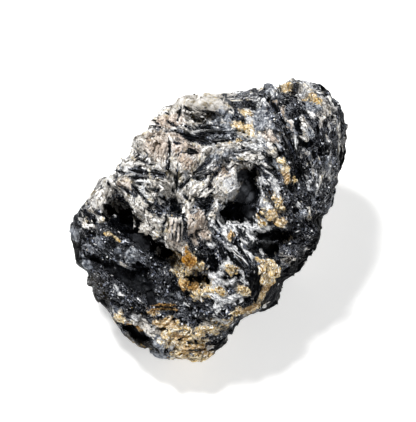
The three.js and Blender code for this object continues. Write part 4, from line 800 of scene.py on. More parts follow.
tried = nearest(seed_at.tolist(), rough, CRYSTALS_TRIED, 0.8)
away = rough[:, None] - seed_at[tried]
u, v = (away * along[tried]).sum(2), (away * beside[tried]).sum(2)
narrowing = 1.25 - habit[tried, 6] * np.abs(u) / half_length[tried]
beyond = np.maximum(np.maximum(np.abs(u) - half_length[tried], np.abs(v) - half_width[tried] * narrowing), 0)
roof = habit[tried, 2] * np.minimum(np.abs(v) / half_width[tried], 1)
heights = level[tried] + slope[tried, 0] * u + slope[tried, 1] * v - roof - STEEPNESS * beyond
highest = np.argmax(heights, axis=1)
every = np.arange(len(rough))
cell = tried[every, highest]
height = np.clip(heights[every, highest], -MOST_RELIEF, MOST_RELIEF)
calm = highest_cover(skin, CALM, 0, 0.3) * on_face(skin)
gap = heights[every, highest] - np.partition(heights, -2, axis=1)[:, -2]
# A crack is painted shade only: it darkens the colour where two crystals meet.
crack = (1 - smoothstep(0.03, 0.2, gap)) * smoothstep(-0.2, 0.4, noise3(skin, 1.8, 15)) * (1 - calm)
print("crystals' relief, mm:", round(float(height.min()), 2), "to", round(float(height.max()), 2))

# %% [markdown]
# ## Keep within the CAD box
# The relief goes on, lower at the rim so that the outline stays crisp, and the outline is met once more. The lump may
# not outgrow the solid that it stands for, and what pokes below the resting flat is lifted to it.

# %% Put the relief on
at_rim = smoothstep(0.9, 0.98, nearness)  # 1 on the rim itself
surface = rough + rough_out * (height * (1 - calm) * free * (1 - 0.5 * at_rim))[:, None]
surface[:, 2] += lift(skin, STROKES, warp=0.2, edge=0.3) * free
surface = fit_outline(surface, inset=-0.12, most=0.025)[0]
metres = to_part(surface)
metres[:, 2] = np.maximum(metres[:, 2], 0)
metres = np.clip(metres, cad_box[0], cad_box[1])
surface = to_face(metres)
print("fine lump, metres:", metres.min(0).round(4), metres.max(0).round(4))

# %% [markdown]
# ## From arrays to Blender meshes
# More than twenty thousand small crystals are still to come, far too many to make one by one with Blender's
# operators. Numpy works out all corners at once, and Blender takes them in bulk. What varies from crystal to crystal,
# such as its tint, travels with the mesh as a named attribute.

# %% Mesh maker
ATTRIBUTE_KINDS = {1: ("FLOAT", "value"), 3: ("FLOAT_VECTOR", "vector"), 4: ("FLOAT_COLOR", "color")}


def mesh_object(name, points, faces, attributes, body="root"):
    """Makes an object of a mesh, in face millimetres, whose faces all have the same number of corners."""
    mesh = bpy.data.meshes.new(name)
    mesh.vertices.add(len(points))
    mesh.vertices.foreach_set("co", to_part(points).ravel())
    mesh.loops.add(faces.size)
    mesh.loops.foreach_set("vertex_index", faces.ravel())
    mesh.polygons.add(len(faces))
    mesh.polygons.foreach_set("loop_start", np.arange(0, faces.size, faces.shape[1]))
    mesh.update(calc_edges=True)
    mesh.shade_flat()
    for key, values in attributes.items():
        kind, field = ATTRIBUTE_KINDS[values.size // len(values)]
        mesh.attributes.new(key, kind, "POINT").data.foreach_set(field, values.ravel())
    made = bpy.data.objects.new(name, mesh)
    bpy.context.scene.collection.objects.link(made)
    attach(made, body)
    print(f"{name}: {len(faces) * (faces.shape[1] - 2)} triangles")
    return made


# %% [markdown]
# ## Colours and nodes
# Colours are picked as sRGB hex values, the way a paint chart gives them, and one function turns them to the linear
# values that the shader wants. Another one adds any node at all, so a material reads as a list of what is in it.

# %% Colours and nodes
def linear(hex_colour):
    """An sRGB hex colour as linear red, green, blue and alpha."""
    channels = [int(hex_colour[i : i + 2], 16) / 255 for i in (1, 3, 5)]
    return [c / 12.92 if c <= 0.04045 else ((c + 0.055) / 1.055) ** 2.4 for c in channels] + [1.0]


def add(tree, kind, settings=None, links=None):
    """Adds a node with its settings and links.

    A setting is named by the node's own property or by a socket's name or number, and "stops" are the places and
    colours of a colour ramp. A link comes from a socket, or from a node's first output.
    """
    made = tree.nodes.new(kind)
    settings = dict(settings or {})
    stops = settings.pop("stops", [])
    own = [key for key in settings if isinstance(key, str) and hasattr(made, key)]
    for key in own:
        setattr(made, key, settings.pop(key))
    for key, value in settings.items():
        made.inputs[key].default_value = value
    while stops and len(made.color_ramp.elements) < len(stops):
        made.color_ramp.elements.new(0.5)
    for element, (position, colour) in zip(made.color_ramp.elements if stops else [], stops):
        element.position, element.color = position, linear(colour)
    for key, source in (links or {}).items():
        tree.links.new(source if isinstance(source, bpy.types.NodeSocket) else source.outputs[0], made.inputs[key])
    return made


def new_material(name):
    """An empty node material, and its node tree."""
    material = bpy.data.materials.new(name)
    material.use_nodes = True
    material.node_tree.nodes.clear()
    return material, material.node_tree


# %% [markdown]
# ## The rock: flecks
# Up close the ground is a mosaic of flecks from a tenth of a millimetre to one millimetre long, each a single
# mineral. Noise turned into colour would blur black, cream, white and ochre into grey. A stretched Voronoi pattern
# gives crisp flecks, with random numbers for each. One of them is held against the local shares of the minerals, so
# that each fleck is wholly one of them. The pattern follows the grain of the crystal that it lies on.

# %% Rock: the flecks
FLECK_WIDTH = 0.42  # mm; real flecks go down to 0.1 mm, and are drawn this coarse so that they show
FLECK_LENGTH = 1.05  # mm
WOBBLE_SIZE = 1 / 0.9  # mm, of the waves in the flecks' outlines
MOTTLE_SIZE = 1 / 2.6  # mm, of the cloudiness within a fleck
WORN_SIZE = 1 / 0.7  # mm, of the blotches on a smooth break


def fleck_pattern(tree):
    """The flecks, their random numbers, and the two noises that vary them."""
    place = add(tree, "ShaderNodeTexCoord").outputs["Object"]
    grain = add(tree, "ShaderNodeAttribute", {"attribute_name": "grain"}).outputs["Vector"]
    wobble = add(tree, "ShaderNodeTexNoise", {"Scale": 1000 / WOBBLE_SIZE, "Detail": 2.0}, {"Vector": place})
    shift = add(tree, "ShaderNodeVectorMath", {"operation": "MULTIPLY_ADD", 1: (0.5, 0.5, 0.5)},
                {0: wobble.outputs["Color"], 2: grain})
    stretch = add(tree, "ShaderNodeVectorMath",
                  {"operation": "DIVIDE", 1: (FLECK_LENGTH, FLECK_WIDTH, FLECK_WIDTH)}, {0: shift})
    flecks = add(tree, "ShaderNodeTexVoronoi", {"Scale": 1.0, "Randomness": 1.0}, {"Vector": stretch})
    random = add(tree, "ShaderNodeSeparateColor", {}, {"Color": flecks.outputs["Color"]}).outputs
    fine = add(tree, "ShaderNodeTexNoise", {"Scale": 1000 / MOTTLE_SIZE, "Detail": 3.0, "Roughness": 0.7},
               {"Vector": place})
    mottle = add(tree, "ShaderNodeMath", {"operation": "MULTIPLY_ADD", 1: 0.55, 2: -0.27}, {0: fine})
    varied = add(tree, "ShaderNodeMath", {"operation": "ADD"}, {0: random[1], 1: mottle})
    worn = add(tree, "ShaderNodeTexNoise", {"Scale": 1000 / WORN_SIZE, "Detail": 6.0, "Roughness": 0.75},
               {"Vector": place})
    calm = add(tree, "ShaderNodeAttribute", {"attribute_name": "calm"}).outputs["Fac"]
    return SimpleNamespace(place=place, shift=shift, colour=flecks.outputs["Color"], which=random[0],
                           gloss=random[2], fine=fine, varied=varied, worn=worn, calm=calm)


# %% [markdown]
# ## The rock: black schorl
# Fresh schorl is a black iron tourmaline with a glassy lustre. What makes it look like mineral and not like tar is a
# dust of specks that glint blue-white, thick in some places and nearly absent in others. True glints need a polished
# facet at just the right angle, and would flicker from one sample to the next. Here the glints are painted: a share
# of small cells is simply pale, more of them where a broad noise is high and fewer where the rock is bare.

# %% Rock: black schorl
# The specks are painted glints: pale cells standing in for facets that catch the light.
GLINT_SPECK_SIZE = 0.45  # mm; real specks are 0.1 to 0.3 mm, and are drawn this coarse so that they show
CLUMP_SIZE = 1 / 0.26  # mm, of the areas with more or fewer specks


def schorl_colour(tree, flecks):
    """Nearly black, with painted glints as pale specks in clumps, and a painted grey sheen on smooth breaks."""
    scaled = add(tree, "ShaderNodeVectorMath", {"operation": "SCALE", "Scale": 1 / GLINT_SPECK_SIZE}, {0: flecks.shift})
    specks = add(tree, "ShaderNodeTexVoronoi", {"Scale": 1.0, "Randomness": 1.0}, {"Vector": scaled})
    glint_speck = add(tree, "ShaderNodeSeparateColor", {}, {"Color": specks.outputs["Color"]}).outputs
    clumps = add(tree, "ShaderNodeTexNoise", {"Scale": 1000 / CLUMP_SIZE, "Detail": 3.0, "Roughness": 0.6},
                 {"Vector": flecks.place})
    rarity = add(tree, "ShaderNodeMapRange", {"From Min": 0.35, "From Max": 0.68, "To Min": 0.99, "To Max": 0.65},
                 {"Value": clumps})
    is_bare = add(tree, "ShaderNodeAttribute", {"attribute_name": "bare"}).outputs["Fac"]
    rarity = add(tree, "ShaderNodeMath", {"operation": "MULTIPLY_ADD", 1: 0.4}, {0: is_bare, 2: rarity})
    # Painted glints: pale cells stand in for facets that catch the light.
    is_painted_glint = add(tree, "ShaderNodeMath", {"operation": "GREATER_THAN"}, {0: glint_speck[0], 1: rarity})
    pale = add(tree, "ShaderNodeValToRGB", {
        "stops": [(0.0, "#3a3f4b"), (0.3, "#868da0"), (0.6, "#d0d5e1"), (1.0, "#ffffff")]}, {0: glint_speck[1]})
    black = add(tree, "ShaderNodeValToRGB", {
        "stops": [(0.0, "#010102"), (0.75, "#030405"), (0.9, "#0f1116"), (1.0, "#2a2e37")]}, {0: flecks.varied})
    # Painted sheen: on a smooth break the black turns dark grey, standing in for the light that it reflects.
    painted_sheen_grey = add(tree, "ShaderNodeValToRGB", {
        "stops": [(0.3, "#222326"), (0.5, "#484a4e"), (0.7, "#6c6f74")]}, {0: flecks.worn})
    black = add(tree, "ShaderNodeMix", {"data_type": "RGBA"}, {0: flecks.calm, 6: black, 7: painted_sheen_grey})
    return add(tree, "ShaderNodeMix", {"data_type": "RGBA"},
               {0: is_painted_glint, 6: black.outputs[2], 7: pale}).outputs[2]


# %% [markdown]
# ## The rock: feldspar
# Feldspar is cream or flesh-coloured, and pearly where it has cleaved. A plate of it keeps much the same tint all
# over, so its tint is half that of the whole crystal and half that of the fleck. Iron water has crept along some of
# its cracks and left a straw yellow to olive tinge.

# %% Rock: feldspar
CREEP_SIZE = 1 / 0.42  # mm, of the tinged areas


def feldspar_colour(tree, flecks, is_flesh):
    """Cream or flesh, by the crystal's own tint, with a yellow tinge in places."""
    crystal_tint = add(tree, "ShaderNodeAttribute", {"attribute_name": "tint"}).outputs["Fac"]
    tint = add(tree, "ShaderNodeMix", {"data_type": "FLOAT", 0: 0.5}, {2: crystal_tint, 3: flecks.varied})
    worn_tint = add(tree, "ShaderNodeMath", {"operation": "MULTIPLY", 1: 0.85}, {0: flecks.worn})
    tint = add(tree, "ShaderNodeMix", {"data_type": "FLOAT"}, {0: flecks.calm, 2: tint, 3: worn_tint})
    cream = add(tree, "ShaderNodeValToRGB", {"stops": [
        (0.22, "#211f1e"), (0.34, "#858079"), (0.47, "#d2cec8"), (0.6, "#f2f0ed"), (0.72, "#ffffff")]}, {0: tint})
    flesh = add(tree, "ShaderNodeValToRGB", {"stops": [
        (0.16, "#372f28"), (0.32, "#9a897b"), (0.5, "#cabaac"), (0.68, "#e2d6cc"), (0.86, "#f9f4ef")]}, {0: tint})
    either = add(tree, "ShaderNodeMix", {"data_type": "RGBA"}, {0: is_flesh, 6: cream, 7: flesh})
    creep = add(tree, "ShaderNodeTexNoise", {"Scale": 1000 / CREEP_SIZE, "Detail": 4.0, "Roughness": 0.7},
                {"Vector": flecks.place})
    tinge = add(tree, "ShaderNodeValToRGB", {
        "stops": [(0.54, "#ffffff"), (0.64, "#dccb9c"), (0.77, "#a8905a")]}, {0: creep})
    return add(tree, "ShaderNodeMix", {"data_type": "RGBA", "blend_type": "MULTIPLY", 0: 0.8},
               {6: either.outputs[2], 7: tinge}).outputs[2]


# %% [markdown]
# ## The rock: limonite, albite and quartz
# Limonite is earthy iron rust, from pale straw to deep orange brown. Albite is a white feldspar like spilled sugar,
# with dark chinks between its grains. Quartz is grey glass over black. Each is a ramp of colours over the flecks'
# random tint, which gives an even spread from its darkest to its lightest.

# %% Rock: limonite, albite and quartz
PALE_OCHRE = [(0.0, "#2a1c0b"), (0.18, "#806133"), (0.36, "#caa661"), (0.55, "#ead099"), (0.74, "#f8edcf"),
              (0.86, "#fffefa")]
DEEP_OCHRE = [(0.0, "#1c1005"), (0.3, "#5d3a0e"), (0.55, "#98651c"), (0.8, "#c8902f"), (1.0, "#efce83")]
ALBITE = [(0.0, "#24272e"), (0.15, "#6a6d75"), (0.3, "#bcbec4"), (0.6, "#f0f0ee"), (1.0, "#ffffff")]
QUARTZ = [(0.0, "#3b3e45"), (0.35, "#686e79"), (0.65, "#93979d"), (1.0, "#d3d5d8")]


def mineral_colours(tree, flecks, is_rust, is_flesh):
    """The colour of each mineral, in the order of the map."""
    pale, deep, albite, quartz = (
        add(tree, "ShaderNodeValToRGB", {"stops": stops}, {0: flecks.varied})
        for stops in (PALE_OCHRE, DEEP_OCHRE, ALBITE, QUARTZ))
    limonite = add(tree, "ShaderNodeMix", {"data_type": "RGBA"}, {0: is_rust, 6: pale, 7: deep}).outputs[2]
    return [schorl_colour(tree, flecks), feldspar_colour(tree, flecks, is_flesh), albite, limonite, quartz]


# %% [markdown]
# ## The rock: facets that catch the light
# Crystal faces break at slightly different angles, so each fleck leans its own way and glints on its own. A bump map
# alone would only ripple the surface. Here the fleck's random colour tips its normal, and the bump adds the finest
# unevenness. Smooth breaks hardly lean, and schorl, which breaks unevenly, leans most.

# %% Rock: leaning facets
LEAN = 0.85  # gives a fleck of schorl a tilt of about 20 degrees as a rule
MOTTLE_DEPTH = 0.12  # mm


def leaning_normal(tree, flecks, is_light):
    """The surface's normal, tipped by each fleck's random numbers."""
    lean = add(tree, "ShaderNodeVectorMath", {"operation": "SUBTRACT", 1: (0.5, 0.5, 0.5)}, {0: flecks.colour})
    how_far = add(tree, "ShaderNodeMath", {"operation": "MULTIPLY_ADD", 1: -0.3, 2: LEAN}, {0: is_light})
    unless_calm = add(tree, "ShaderNodeMath", {"operation": "MULTIPLY_ADD", 1: -0.9, 2: 1.0}, {0: flecks.calm})
    how_far = add(tree, "ShaderNodeMath", {"operation": "MULTIPLY"}, {0: how_far, 1: unless_calm})
    lean = add(tree, "ShaderNodeVectorMath", {"operation": "SCALE"}, {0: lean, "Scale": how_far})
    flat = add(tree, "ShaderNodeNewGeometry").outputs["Normal"]
    tipped = add(tree, "ShaderNodeVectorMath", {"operation": "ADD"}, {0: flat, 1: lean})
    facet = add(tree, "ShaderNodeVectorMath", {"operation": "NORMALIZE"}, {0: tipped})
    return add(tree, "ShaderNodeBump", {"Strength": 0.3, "Distance": MOTTLE_DEPTH / 1000},
               {"Height": flecks.fine, "Normal": facet})


# %% [markdown]
# ## The rock: putting it together
# The broken surface of schorl grown through feldspar is dull as a whole, and glassy only in the black. The specular
# level is kept very low, because at the rim a rough black surface would mirror the bright floor and turn grey. The
# IOR of 1.6 lies between schorl's 1.64 and feldspar's 1.53. Dirt and painted shade lie in the marked patches and
# pull every mineral to a dark olive brown. Shade is also painted into the colour of the low places and the cracks,
# since little light finds its way out of them.

# %% Rock: the material
# the olive brown of the dirt marks, which is also their painted shade
OLIVE_DIRT_AND_SHADE = "#2b2412"


def rock_material():
    """The freshly broken rock: the minerals by their shares, then dirt and painted shade, painted shade in the low
    places and cracks, and gloss.
    """
    material, tree = new_material("intergrown_schorl_feldspar_broken")
    flecks = fleck_pattern(tree)
    shares = add(tree, "ShaderNodeAttribute", {"attribute_name": "shares"}).outputs
    stains_and_painted_shade = add(tree, "ShaderNodeAttribute", {"attribute_name": "stains_and_painted_shade"}).outputs
    past = [*add(tree, "ShaderNodeSeparateColor", {}, {"Color": shares["Color"]}).outputs, shares["Alpha"]]
    is_rust, dirt_and_shade, how_much_painted_shade = add(tree, "ShaderNodeSeparateColor", {}, {"Color": stains_and_painted_shade["Color"]}).outputs

    colour, *others = mineral_colours(tree, flecks, is_rust, stains_and_painted_shade["Alpha"])
    for limit, other in zip(past, others):
        is_past = add(tree, "ShaderNodeMath", {"operation": "GREATER_THAN"}, {0: flecks.which, 1: limit})
        colour = add(tree, "ShaderNodeMix", {"data_type": "RGBA"}, {0: is_past, 6: colour, 7: other}).outputs[2]
    is_light = add(tree, "ShaderNodeMath", {"operation": "GREATER_THAN"}, {0: flecks.which, 1: past[0]})

    # Dirt marks pull the colour to dark olive: olive dirt, and painted shade in the hollows and on the shadowed
    # flanks.
    how_much_dirt_and_shade = add(tree, "ShaderNodeMath", {"operation": "MULTIPLY", 1: 0.82}, {0: dirt_and_shade})
    with_dirt_and_shade = add(tree, "ShaderNodeMix", {"data_type": "RGBA", 7: linear(OLIVE_DIRT_AND_SHADE)}, {0: how_much_dirt_and_shade, 6: colour})
    # Painted shade: low places and cracks are darkened in the colour, down to a fifth.
    shade = add(tree, "ShaderNodeMapRange", {"From Min": 0.0, "From Max": 1.0, "To Min": 1.0, "To Max": 0.2},
                {"Value": how_much_painted_shade})
    shaded = add(tree, "ShaderNodeMix", {"data_type": "RGBA", "blend_type": "MULTIPLY", 0: 1.0},
                 {6: with_dirt_and_shade.outputs[2], 7: shade})

    schorl_rough = add(tree, "ShaderNodeMapRange", {"To Min": 0.25, "To Max": 0.4}, {"Value": flecks.gloss})
    rough = add(tree, "ShaderNodeMix", {"data_type": "FLOAT", 3: 0.62}, {0: is_light, 2: schorl_rough})
    shader = add(tree, "ShaderNodeBsdfPrincipled", {"IOR": 1.6, "Specular IOR Level": 0.02},
                 {"Base Color": shaded.outputs[2], "Roughness": rough,
                  "Normal": leaning_normal(tree, flecks, is_light)})
    add(tree, "ShaderNodeOutputMaterial", {}, {"Surface": shader})
    return material


rock_finish = rock_material()
print("nodes in the rock's material:", len(rock_finish.node_tree.nodes))

# %% [markdown]
# ## What each point of the rock is made of
# The shader only knows what the mesh tells it, so each point carries its shares, its stains and painted shade, and
# its place along the grain. In a marked patch a crystal is mostly its own mineral. Elsewhere the minerals mix from
# fleck to fleck.

# %% Shares and grain of each point
OWN_SHARE = 0.72  # how much of a crystal is its own mineral
MORE_IN_PATCH = 0.22
place = warped(skin, PATCH_WARP)
in_patch = highest_cover(place, [mark[1:7] for mark in PATCHES], 0, 0.4)
in_slab = mark_cover(skin, (-16, 6, -4, 20, 11, 1), 0, 0.15)
in_white_side = mark_cover(skin, (3, -18, 10, -4, 7, 1), 0, 0.15)
crisp = np.where(on_face(skin) > 0.5, np.maximum.reduce([in_patch, in_slab, in_white_side]), 0.7)
own_share = (OWN_SHARE + MORE_IN_PATCH * crisp)[:, None]
own = np.eye(len(MINERALS))[seed_mineral[cell]]
mixed = own_share * own + (1 - own_share) * skin_mix
mixed = lay(mixed, warped(skin, 0.2), STROKES, 0.35 * noise3(skin, 0.8, 14), 0.3, 0.9)
shares = np.cumsum(mixed, 1)[:, :4]

# Grain coordinates run along, beside and out of each crystal, and jump from one crystal to the next.
jump = rng.uniform(0, 500, (count, 3))[cell]
tint = rng.random(count)[cell]
grain = np.column_stack([(surface * axes[cell]).sum(1) for axes in (along, beside, seed_out)]) + jump
solid_black = [(*mark[1:6], 1) for mark in PATCHES if mark[0] == "schorl" and mark[6] >= 0.9]
bare = np.maximum(calm, highest_cover(place, solid_black, 0, 0.3) * on_face(skin))
# Painted shade: the lower a point lies among the crystals and ledges, and the nearer a crack, the darker its colour.
painted_hollow_shade = np.clip((0.1 - height - 0.4 * relief) * 0.7 + 0.75 * crack, 0, 1) * (1 - calm)
# Rust, dirt with painted shade, the painted shade of low places, and flesh colour.
stains_and_painted_shade = np.column_stack([stain(skin, RUST, 61), stain(skin, DIRT_AND_PAINTED_SHADE, 62), painted_hollow_shade, stain(skin, FLESH, 63)])
print("mean shares:", dict(zip(MINERALS, mixed.mean(0).round(2).tolist())))

# %% [markdown]
# ## Two closed halves
# The skin has over three hundred thousand triangles, which is a lot for one mesh. It is cut in two along its widest
# level, and each half is closed by a fan of triangles that runs inwards from the cut and never shows.

# %% Two closed halves
SPLIT_LEVEL = -5.0  # mm behind the middle of the show face
triangles = np.concatenate([quads[:, [0, 1, 2]], quads[:, [0, 2, 3]]])
is_front = np.tile(surface[quads][:, :, 2].mean(1) > SPLIT_LEVEL, 2)
carried = {"grain": grain, "shares": shares, "stains_and_painted_shade": stains_and_painted_shade, "tint": tint, "calm": calm, "bare": bare}


def half(name, chosen):
    """Closes the chosen triangles by a fan to a point inside, and makes them an object in place of the solid."""
    kept = triangles[chosen]
    edges = np.concatenate([kept[:, [0, 1]], kept[:, [1, 2]], kept[:, [2, 0]]])
    codes = edges[:, 0] * len(surface) + edges[:, 1]
    back = edges[:, 1] * len(surface) + edges[:, 0]
    open_edges = edges[~np.isin(back, codes)]
    used, renumbered = np.unique(kept, return_inverse=True)
    number = np.full(len(surface), -1)
    number[used] = np.arange(len(used))
    points = np.append(surface[used], [[0, 0, SPLIT_LEVEL]], axis=0)
    fan = np.column_stack([number[open_edges[:, 1]], number[open_edges[:, 0]], np.full(len(open_edges), len(used))])
    faces = np.concatenate([renumbered.reshape(-1, 3), fan])
    made = mesh_object(name, points, faces, {k: v[np.append(used, used[-1])] for k, v in carried.items()})
    made.data.materials.append(rock_finish)
    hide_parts("schorl_specimen")


half("rock_show_side", is_front)
half("rock_far_side", ~is_front)

# %% [markdown]
# ## Thousands of small crystals
# The fine lump can't show anything thinner than its own mesh. Blades, plates and sugary grains with sharp edges are
# solids of twenty to forty-four triangles each, sunk into the rock where the map has their mineral. Geometry nodes
# could scatter them too, but a mesh of thousands is just as quick when Numpy lays out all of them from one template.

# %% Crystal templates
def ringed(outline, levels):
    """A closed solid of rings of the outline, one per level: (place along z, size). Corners and triangles."""
    sides = len(outline)
    points = np.concatenate([np.column_stack([outline * size, np.full(sides, z)]) for z, size in levels])
    faces = [(0, k + 1, k) for k in range(1, sides - 1)]
    top = sides * (len(levels) - 1)
    faces += [(top, top + k, top + k + 1) for k in range(1, sides - 1)]
    for ring in range(len(levels) - 1):
        for k in range(sides):
            a, b = ring * sides + k, ring * sides + (k + 1) % sides
            faces += [(a, b, b + sides), (a, b + sides, a + sides)]
    return points, np.array(faces)


def corners_round(degrees):
    """Corners on a circle of radius 1 at the given angles."""
    turn = np.radians(degrees)
    return np.column_stack([np.cos(turn), np.sin(turn)])


# Corners run along, beside and out of the crystal, from -1 to 1. A blade lies down and is pointed at both ends.
standing, standing_faces = ringed(
    corners_round([-30, 30, 90, 150, 210, 270]), [(-1, 0.12), (-0.55, 1), (0.6, 0.9), (1, 0.1)])
BLADE = (standing[:, [2, 0, 1]], standing_faces)
PLATE = ringed(corners_round([4, 48, 118, 176, 236, 306]), [(-1, 1.0), (0.7, 1.0), (1, 0.86)])
GRAIN = ringed(corners_round([0, 95, 175, 265]), [(-1, 0.4), (0.1, 1), (1, 0.5)])
print("triangles of a blade, a plate and a grain:", [len(faces) for _, faces in (BLADE, PLATE, GRAIN)])

# %% [markdown]
# ## Scattering
# A crystal may sit anywhere on the finished surface. Each quad gets a chance from its area and the local share of the
# mineral, and a random place in a chosen quad is one crystal's seat. The seats are drawn from one seeded chooser per
# mineral, so a change to one mineral leaves the others where they were.

# %% Places for crystals
corners = surface[quads]
middles = corners.mean(1)
quad_cross = np.cross(corners[:, 2] - corners[:, 0], corners[:, 3] - corners[:, 1])
quad_area = np.linalg.norm(quad_cross, axis=1) / 2
quad_out = rough_out[quads].mean(1)
quad_out /= np.linalg.norm(quad_out, axis=1, keepdims=True)
quad_mix = mixed[quads].mean(1)
quad_low = painted_hollow_shade[quads].mean(1)
quad_calm = calm[quads].mean(1)
# Nothing is scattered on the flat below, so that the lump still rests on it, or on the rim, so that it stays crisp.
quad_clear = smoothstep(1, 3, part_height(middles)) * (1 - at_rim[quads].mean(1))


def one_mineral(mineral):
    """The share of one mineral in each quad."""
    return quad_mix[:, MINERALS.index(mineral)]


def scatter(weight, number, chooser):
    """Random places on the rock, thicker where the weight is greater, and which way is out at each."""
    chance = quad_area * weight * quad_clear
    picked = chooser.choice(len(quads), number, p=chance / chance.sum())
    s, t = chooser.random((2, number, 1))
    on = corners[picked]
    at = (on[:, 0] * (1 - s) + on[:, 1] * s) * (1 - t) + (on[:, 3] * (1 - s) + on[:, 2] * s) * t
    return at, quad_out[picked]


def turned(way, side, angle):
    """Turns each way towards its side by the angle in radians."""
    return way * np.cos(angle)[:, None] + side * np.sin(angle)[:, None]


def lying(at, outward, chooser, swing, pitch=0):
    """A way for each crystal along the grain, swung about and pitched out of the surface by so many degrees."""
    way = grain_direction(at, outward)
    way = turned(way, np.cross(outward, way), np.radians(chooser.normal(0, swing, len(at))))
    if pitch:
        way = turned(way, outward, np.radians(chooser.normal(0, pitch, len(at))))
    return way


# %% [markdown]
# ## Joining and finishing the crystals
# Each mineral is one object, because thousands of objects would slow everything down. The corners of every crystal
# are shaken a little, so no two are alike. The finish needs only a tint per crystal, some cloudiness and a faintly
# uneven face, and it is one recipe for all of them: what differs is the colours, the gloss and the IOR.

# %% Joining and finishing the crystals
SPOT_SIZE = 1 / 1.5  # mm, of dark and rusty spots on a crystal


def crystals(name, template, at, way, outward, half_sizes, chooser, ragged, warm_marks=FLESH):
    """Joins one crystal of the template's form at each place into a single object with a tint per crystal."""
    points, faces = template
    side = np.cross(outward, way)
    side /= np.linalg.norm(side, axis=1, keepdims=True)
    up = np.cross(way, side)
    shaken = np.ones((len(at), len(points), 3))
    shaken[..., :2] += ragged * chooser.normal(0, 1, (len(at), len(points), 2))
    local = points[None] * shaken * half_sizes[:, None]
    placed = at[:, None] + local[..., :1] * way[:, None] + local[..., 1:2] * side[:, None]
    placed = (placed + local[..., 2:] * up[:, None]).reshape(-1, 3)
    kept_in = np.clip(to_part(placed), cad_box[0], cad_box[1])
    numbers = (faces[None] + len(points) * np.arange(len(at))[:, None, None]).reshape(-1, 3)
    tint = np.repeat(chooser.random(len(at)), len(points))
    warm = np.repeat(stain(at, warm_marks, 63), len(points))
    return mesh_object(name, to_face(kept_in), numbers, {"tint": tint, "warm": warm})


def crystal_material(name, stops, roughness, ior, specular, bump_mm=0.03, warm_stops=None, specks=None):
    """One mineral: a colour per crystal from the stops, with fine mottling and a faintly uneven face."""
    material, tree = new_material(name)
    place = add(tree, "ShaderNodeTexCoord").outputs["Object"]
    tint = add(tree, "ShaderNodeAttribute", {"attribute_name": "tint"}).outputs["Fac"]
    fine = add(tree, "ShaderNodeTexNoise", {"Scale": 1000 / MOTTLE_SIZE, "Detail": 3.0, "Roughness": 0.7},
               {"Vector": place})
    mottle = add(tree, "ShaderNodeMath", {"operation": "MULTIPLY_ADD", 1: 0.7, 2: -0.35}, {0: fine})
    varied = add(tree, "ShaderNodeMath", {"operation": "ADD"}, {0: tint, 1: mottle})
    colour = add(tree, "ShaderNodeValToRGB", {"stops": stops}, {0: varied}).outputs[0]
    if warm_stops:
        warm = add(tree, "ShaderNodeAttribute", {"attribute_name": "warm"}).outputs["Fac"]
        warm_colour = add(tree, "ShaderNodeValToRGB", {"stops": warm_stops}, {0: varied})
        colour = add(tree, "ShaderNodeMix", {"data_type": "RGBA"}, {0: warm, 6: colour, 7: warm_colour}).outputs[2]
    if specks:
        spots = add(tree, "ShaderNodeTexNoise", {"Scale": 1000 / SPOT_SIZE, "Detail": 3.0, "Roughness": 0.75},
                    {"Vector": place})
        spotted = add(tree, "ShaderNodeValToRGB", {"stops": specks}, {0: spots})
        colour = add(tree, "ShaderNodeMix", {"data_type": "RGBA", "blend_type": "MULTIPLY", 0: 1.0},
                     {6: colour, 7: spotted}).outputs[2]
    bump = add(tree, "ShaderNodeBump", {"Strength": 0.5, "Distance": bump_mm / 1000}, {"Height": fine})
    shader = add(tree, "ShaderNodeBsdfPrincipled",
                 {"Roughness": roughness, "IOR": ior, "Specular IOR Level": specular},
                 {"Base Color": colour, "Normal": bump})
    add(tree, "ShaderNodeOutputMaterial", {}, {"Surface": shader})
    return material


# %% [markdown]
# ## Feldspar plates
# Feldspar splits along flat planes, so a broken mass of it is a heap of angular plates from one to three millimetres
# long. Each is a six-cornered slab with a narrow bevel, laid nearly level with the rock and sunk into it. Plates keep
# clear of the black needles that the map names, which would vanish under them.

# %% Feldspar plates
PLATES = 2800
PLATE_HALF_THICKNESS = 0.3  # mm
NEEDLE_CLEARANCE = 0.45  # mm

chooser = np.random.default_rng(72)
needles = [(*mark[1:5], mark[5] + NEEDLE_CLEARANCE, 1) for mark in STROKES if mark[0] == "schorl"]
beside_needles = highest_cover(middles, needles, 0, 0.3) * on_face(middles)
weight = np.maximum(one_mineral("feldspar") - 0.6, 0) * (1 - beside_needles) * (1 - quad_calm)
at, outward = scatter(weight, PLATES, chooser)
way = lying(at, outward, chooser, swing=18, pitch=6)
half_sizes = np.column_stack([
    chooser.lognormal(-0.2, 0.4, PLATES), chooser.lognormal(-1.35, 0.35, PLATES),
    np.full(PLATES, PLATE_HALF_THICKNESS)])
at = at - outward * chooser.uniform(0.16, 0.32, (PLATES, 1))
plates = crystals("feldspar_plates", PLATE, at, way, outward, half_sizes, chooser, ragged=0.16)
# Cleaved feldspar is a satin cream, pearly rather than glassy, with dark chinks and a few rusty spots.
plates.data.materials.append(crystal_material(
    "feldspar_cleaved",
    [(0.0, "#77726b"), (0.25, "#a6a19a"), (0.5, "#cfcbc4"), (0.75, "#e6e3de"), (1.0, "#fbfaf8")],
    roughness=0.5, ior=1.53, specular=0.4,
    warm_stops=[(0.0, "#66594e"), (0.3, "#a39182"), (0.5, "#c3b1a2"), (0.75, "#d9cbbe"), (1.0, "#f2ebe3")],
    specks=[(0.38, "#1f1d1b"), (0.43, "#8f8981"), (0.48, "#ffffff"), (0.6, "#ffffff"), (0.68, "#d9c48f")]))

# %% [markdown]
# ## Blades along the map's needles
# A needle that the map names has to lie where the map has it, so it isn't left to the scatter. Its two ends are
# dropped onto the rock, and the blade bridges what lies between them, as a stiff crystal does. A broad needle is a
# sheaf of thinner ones side by side.

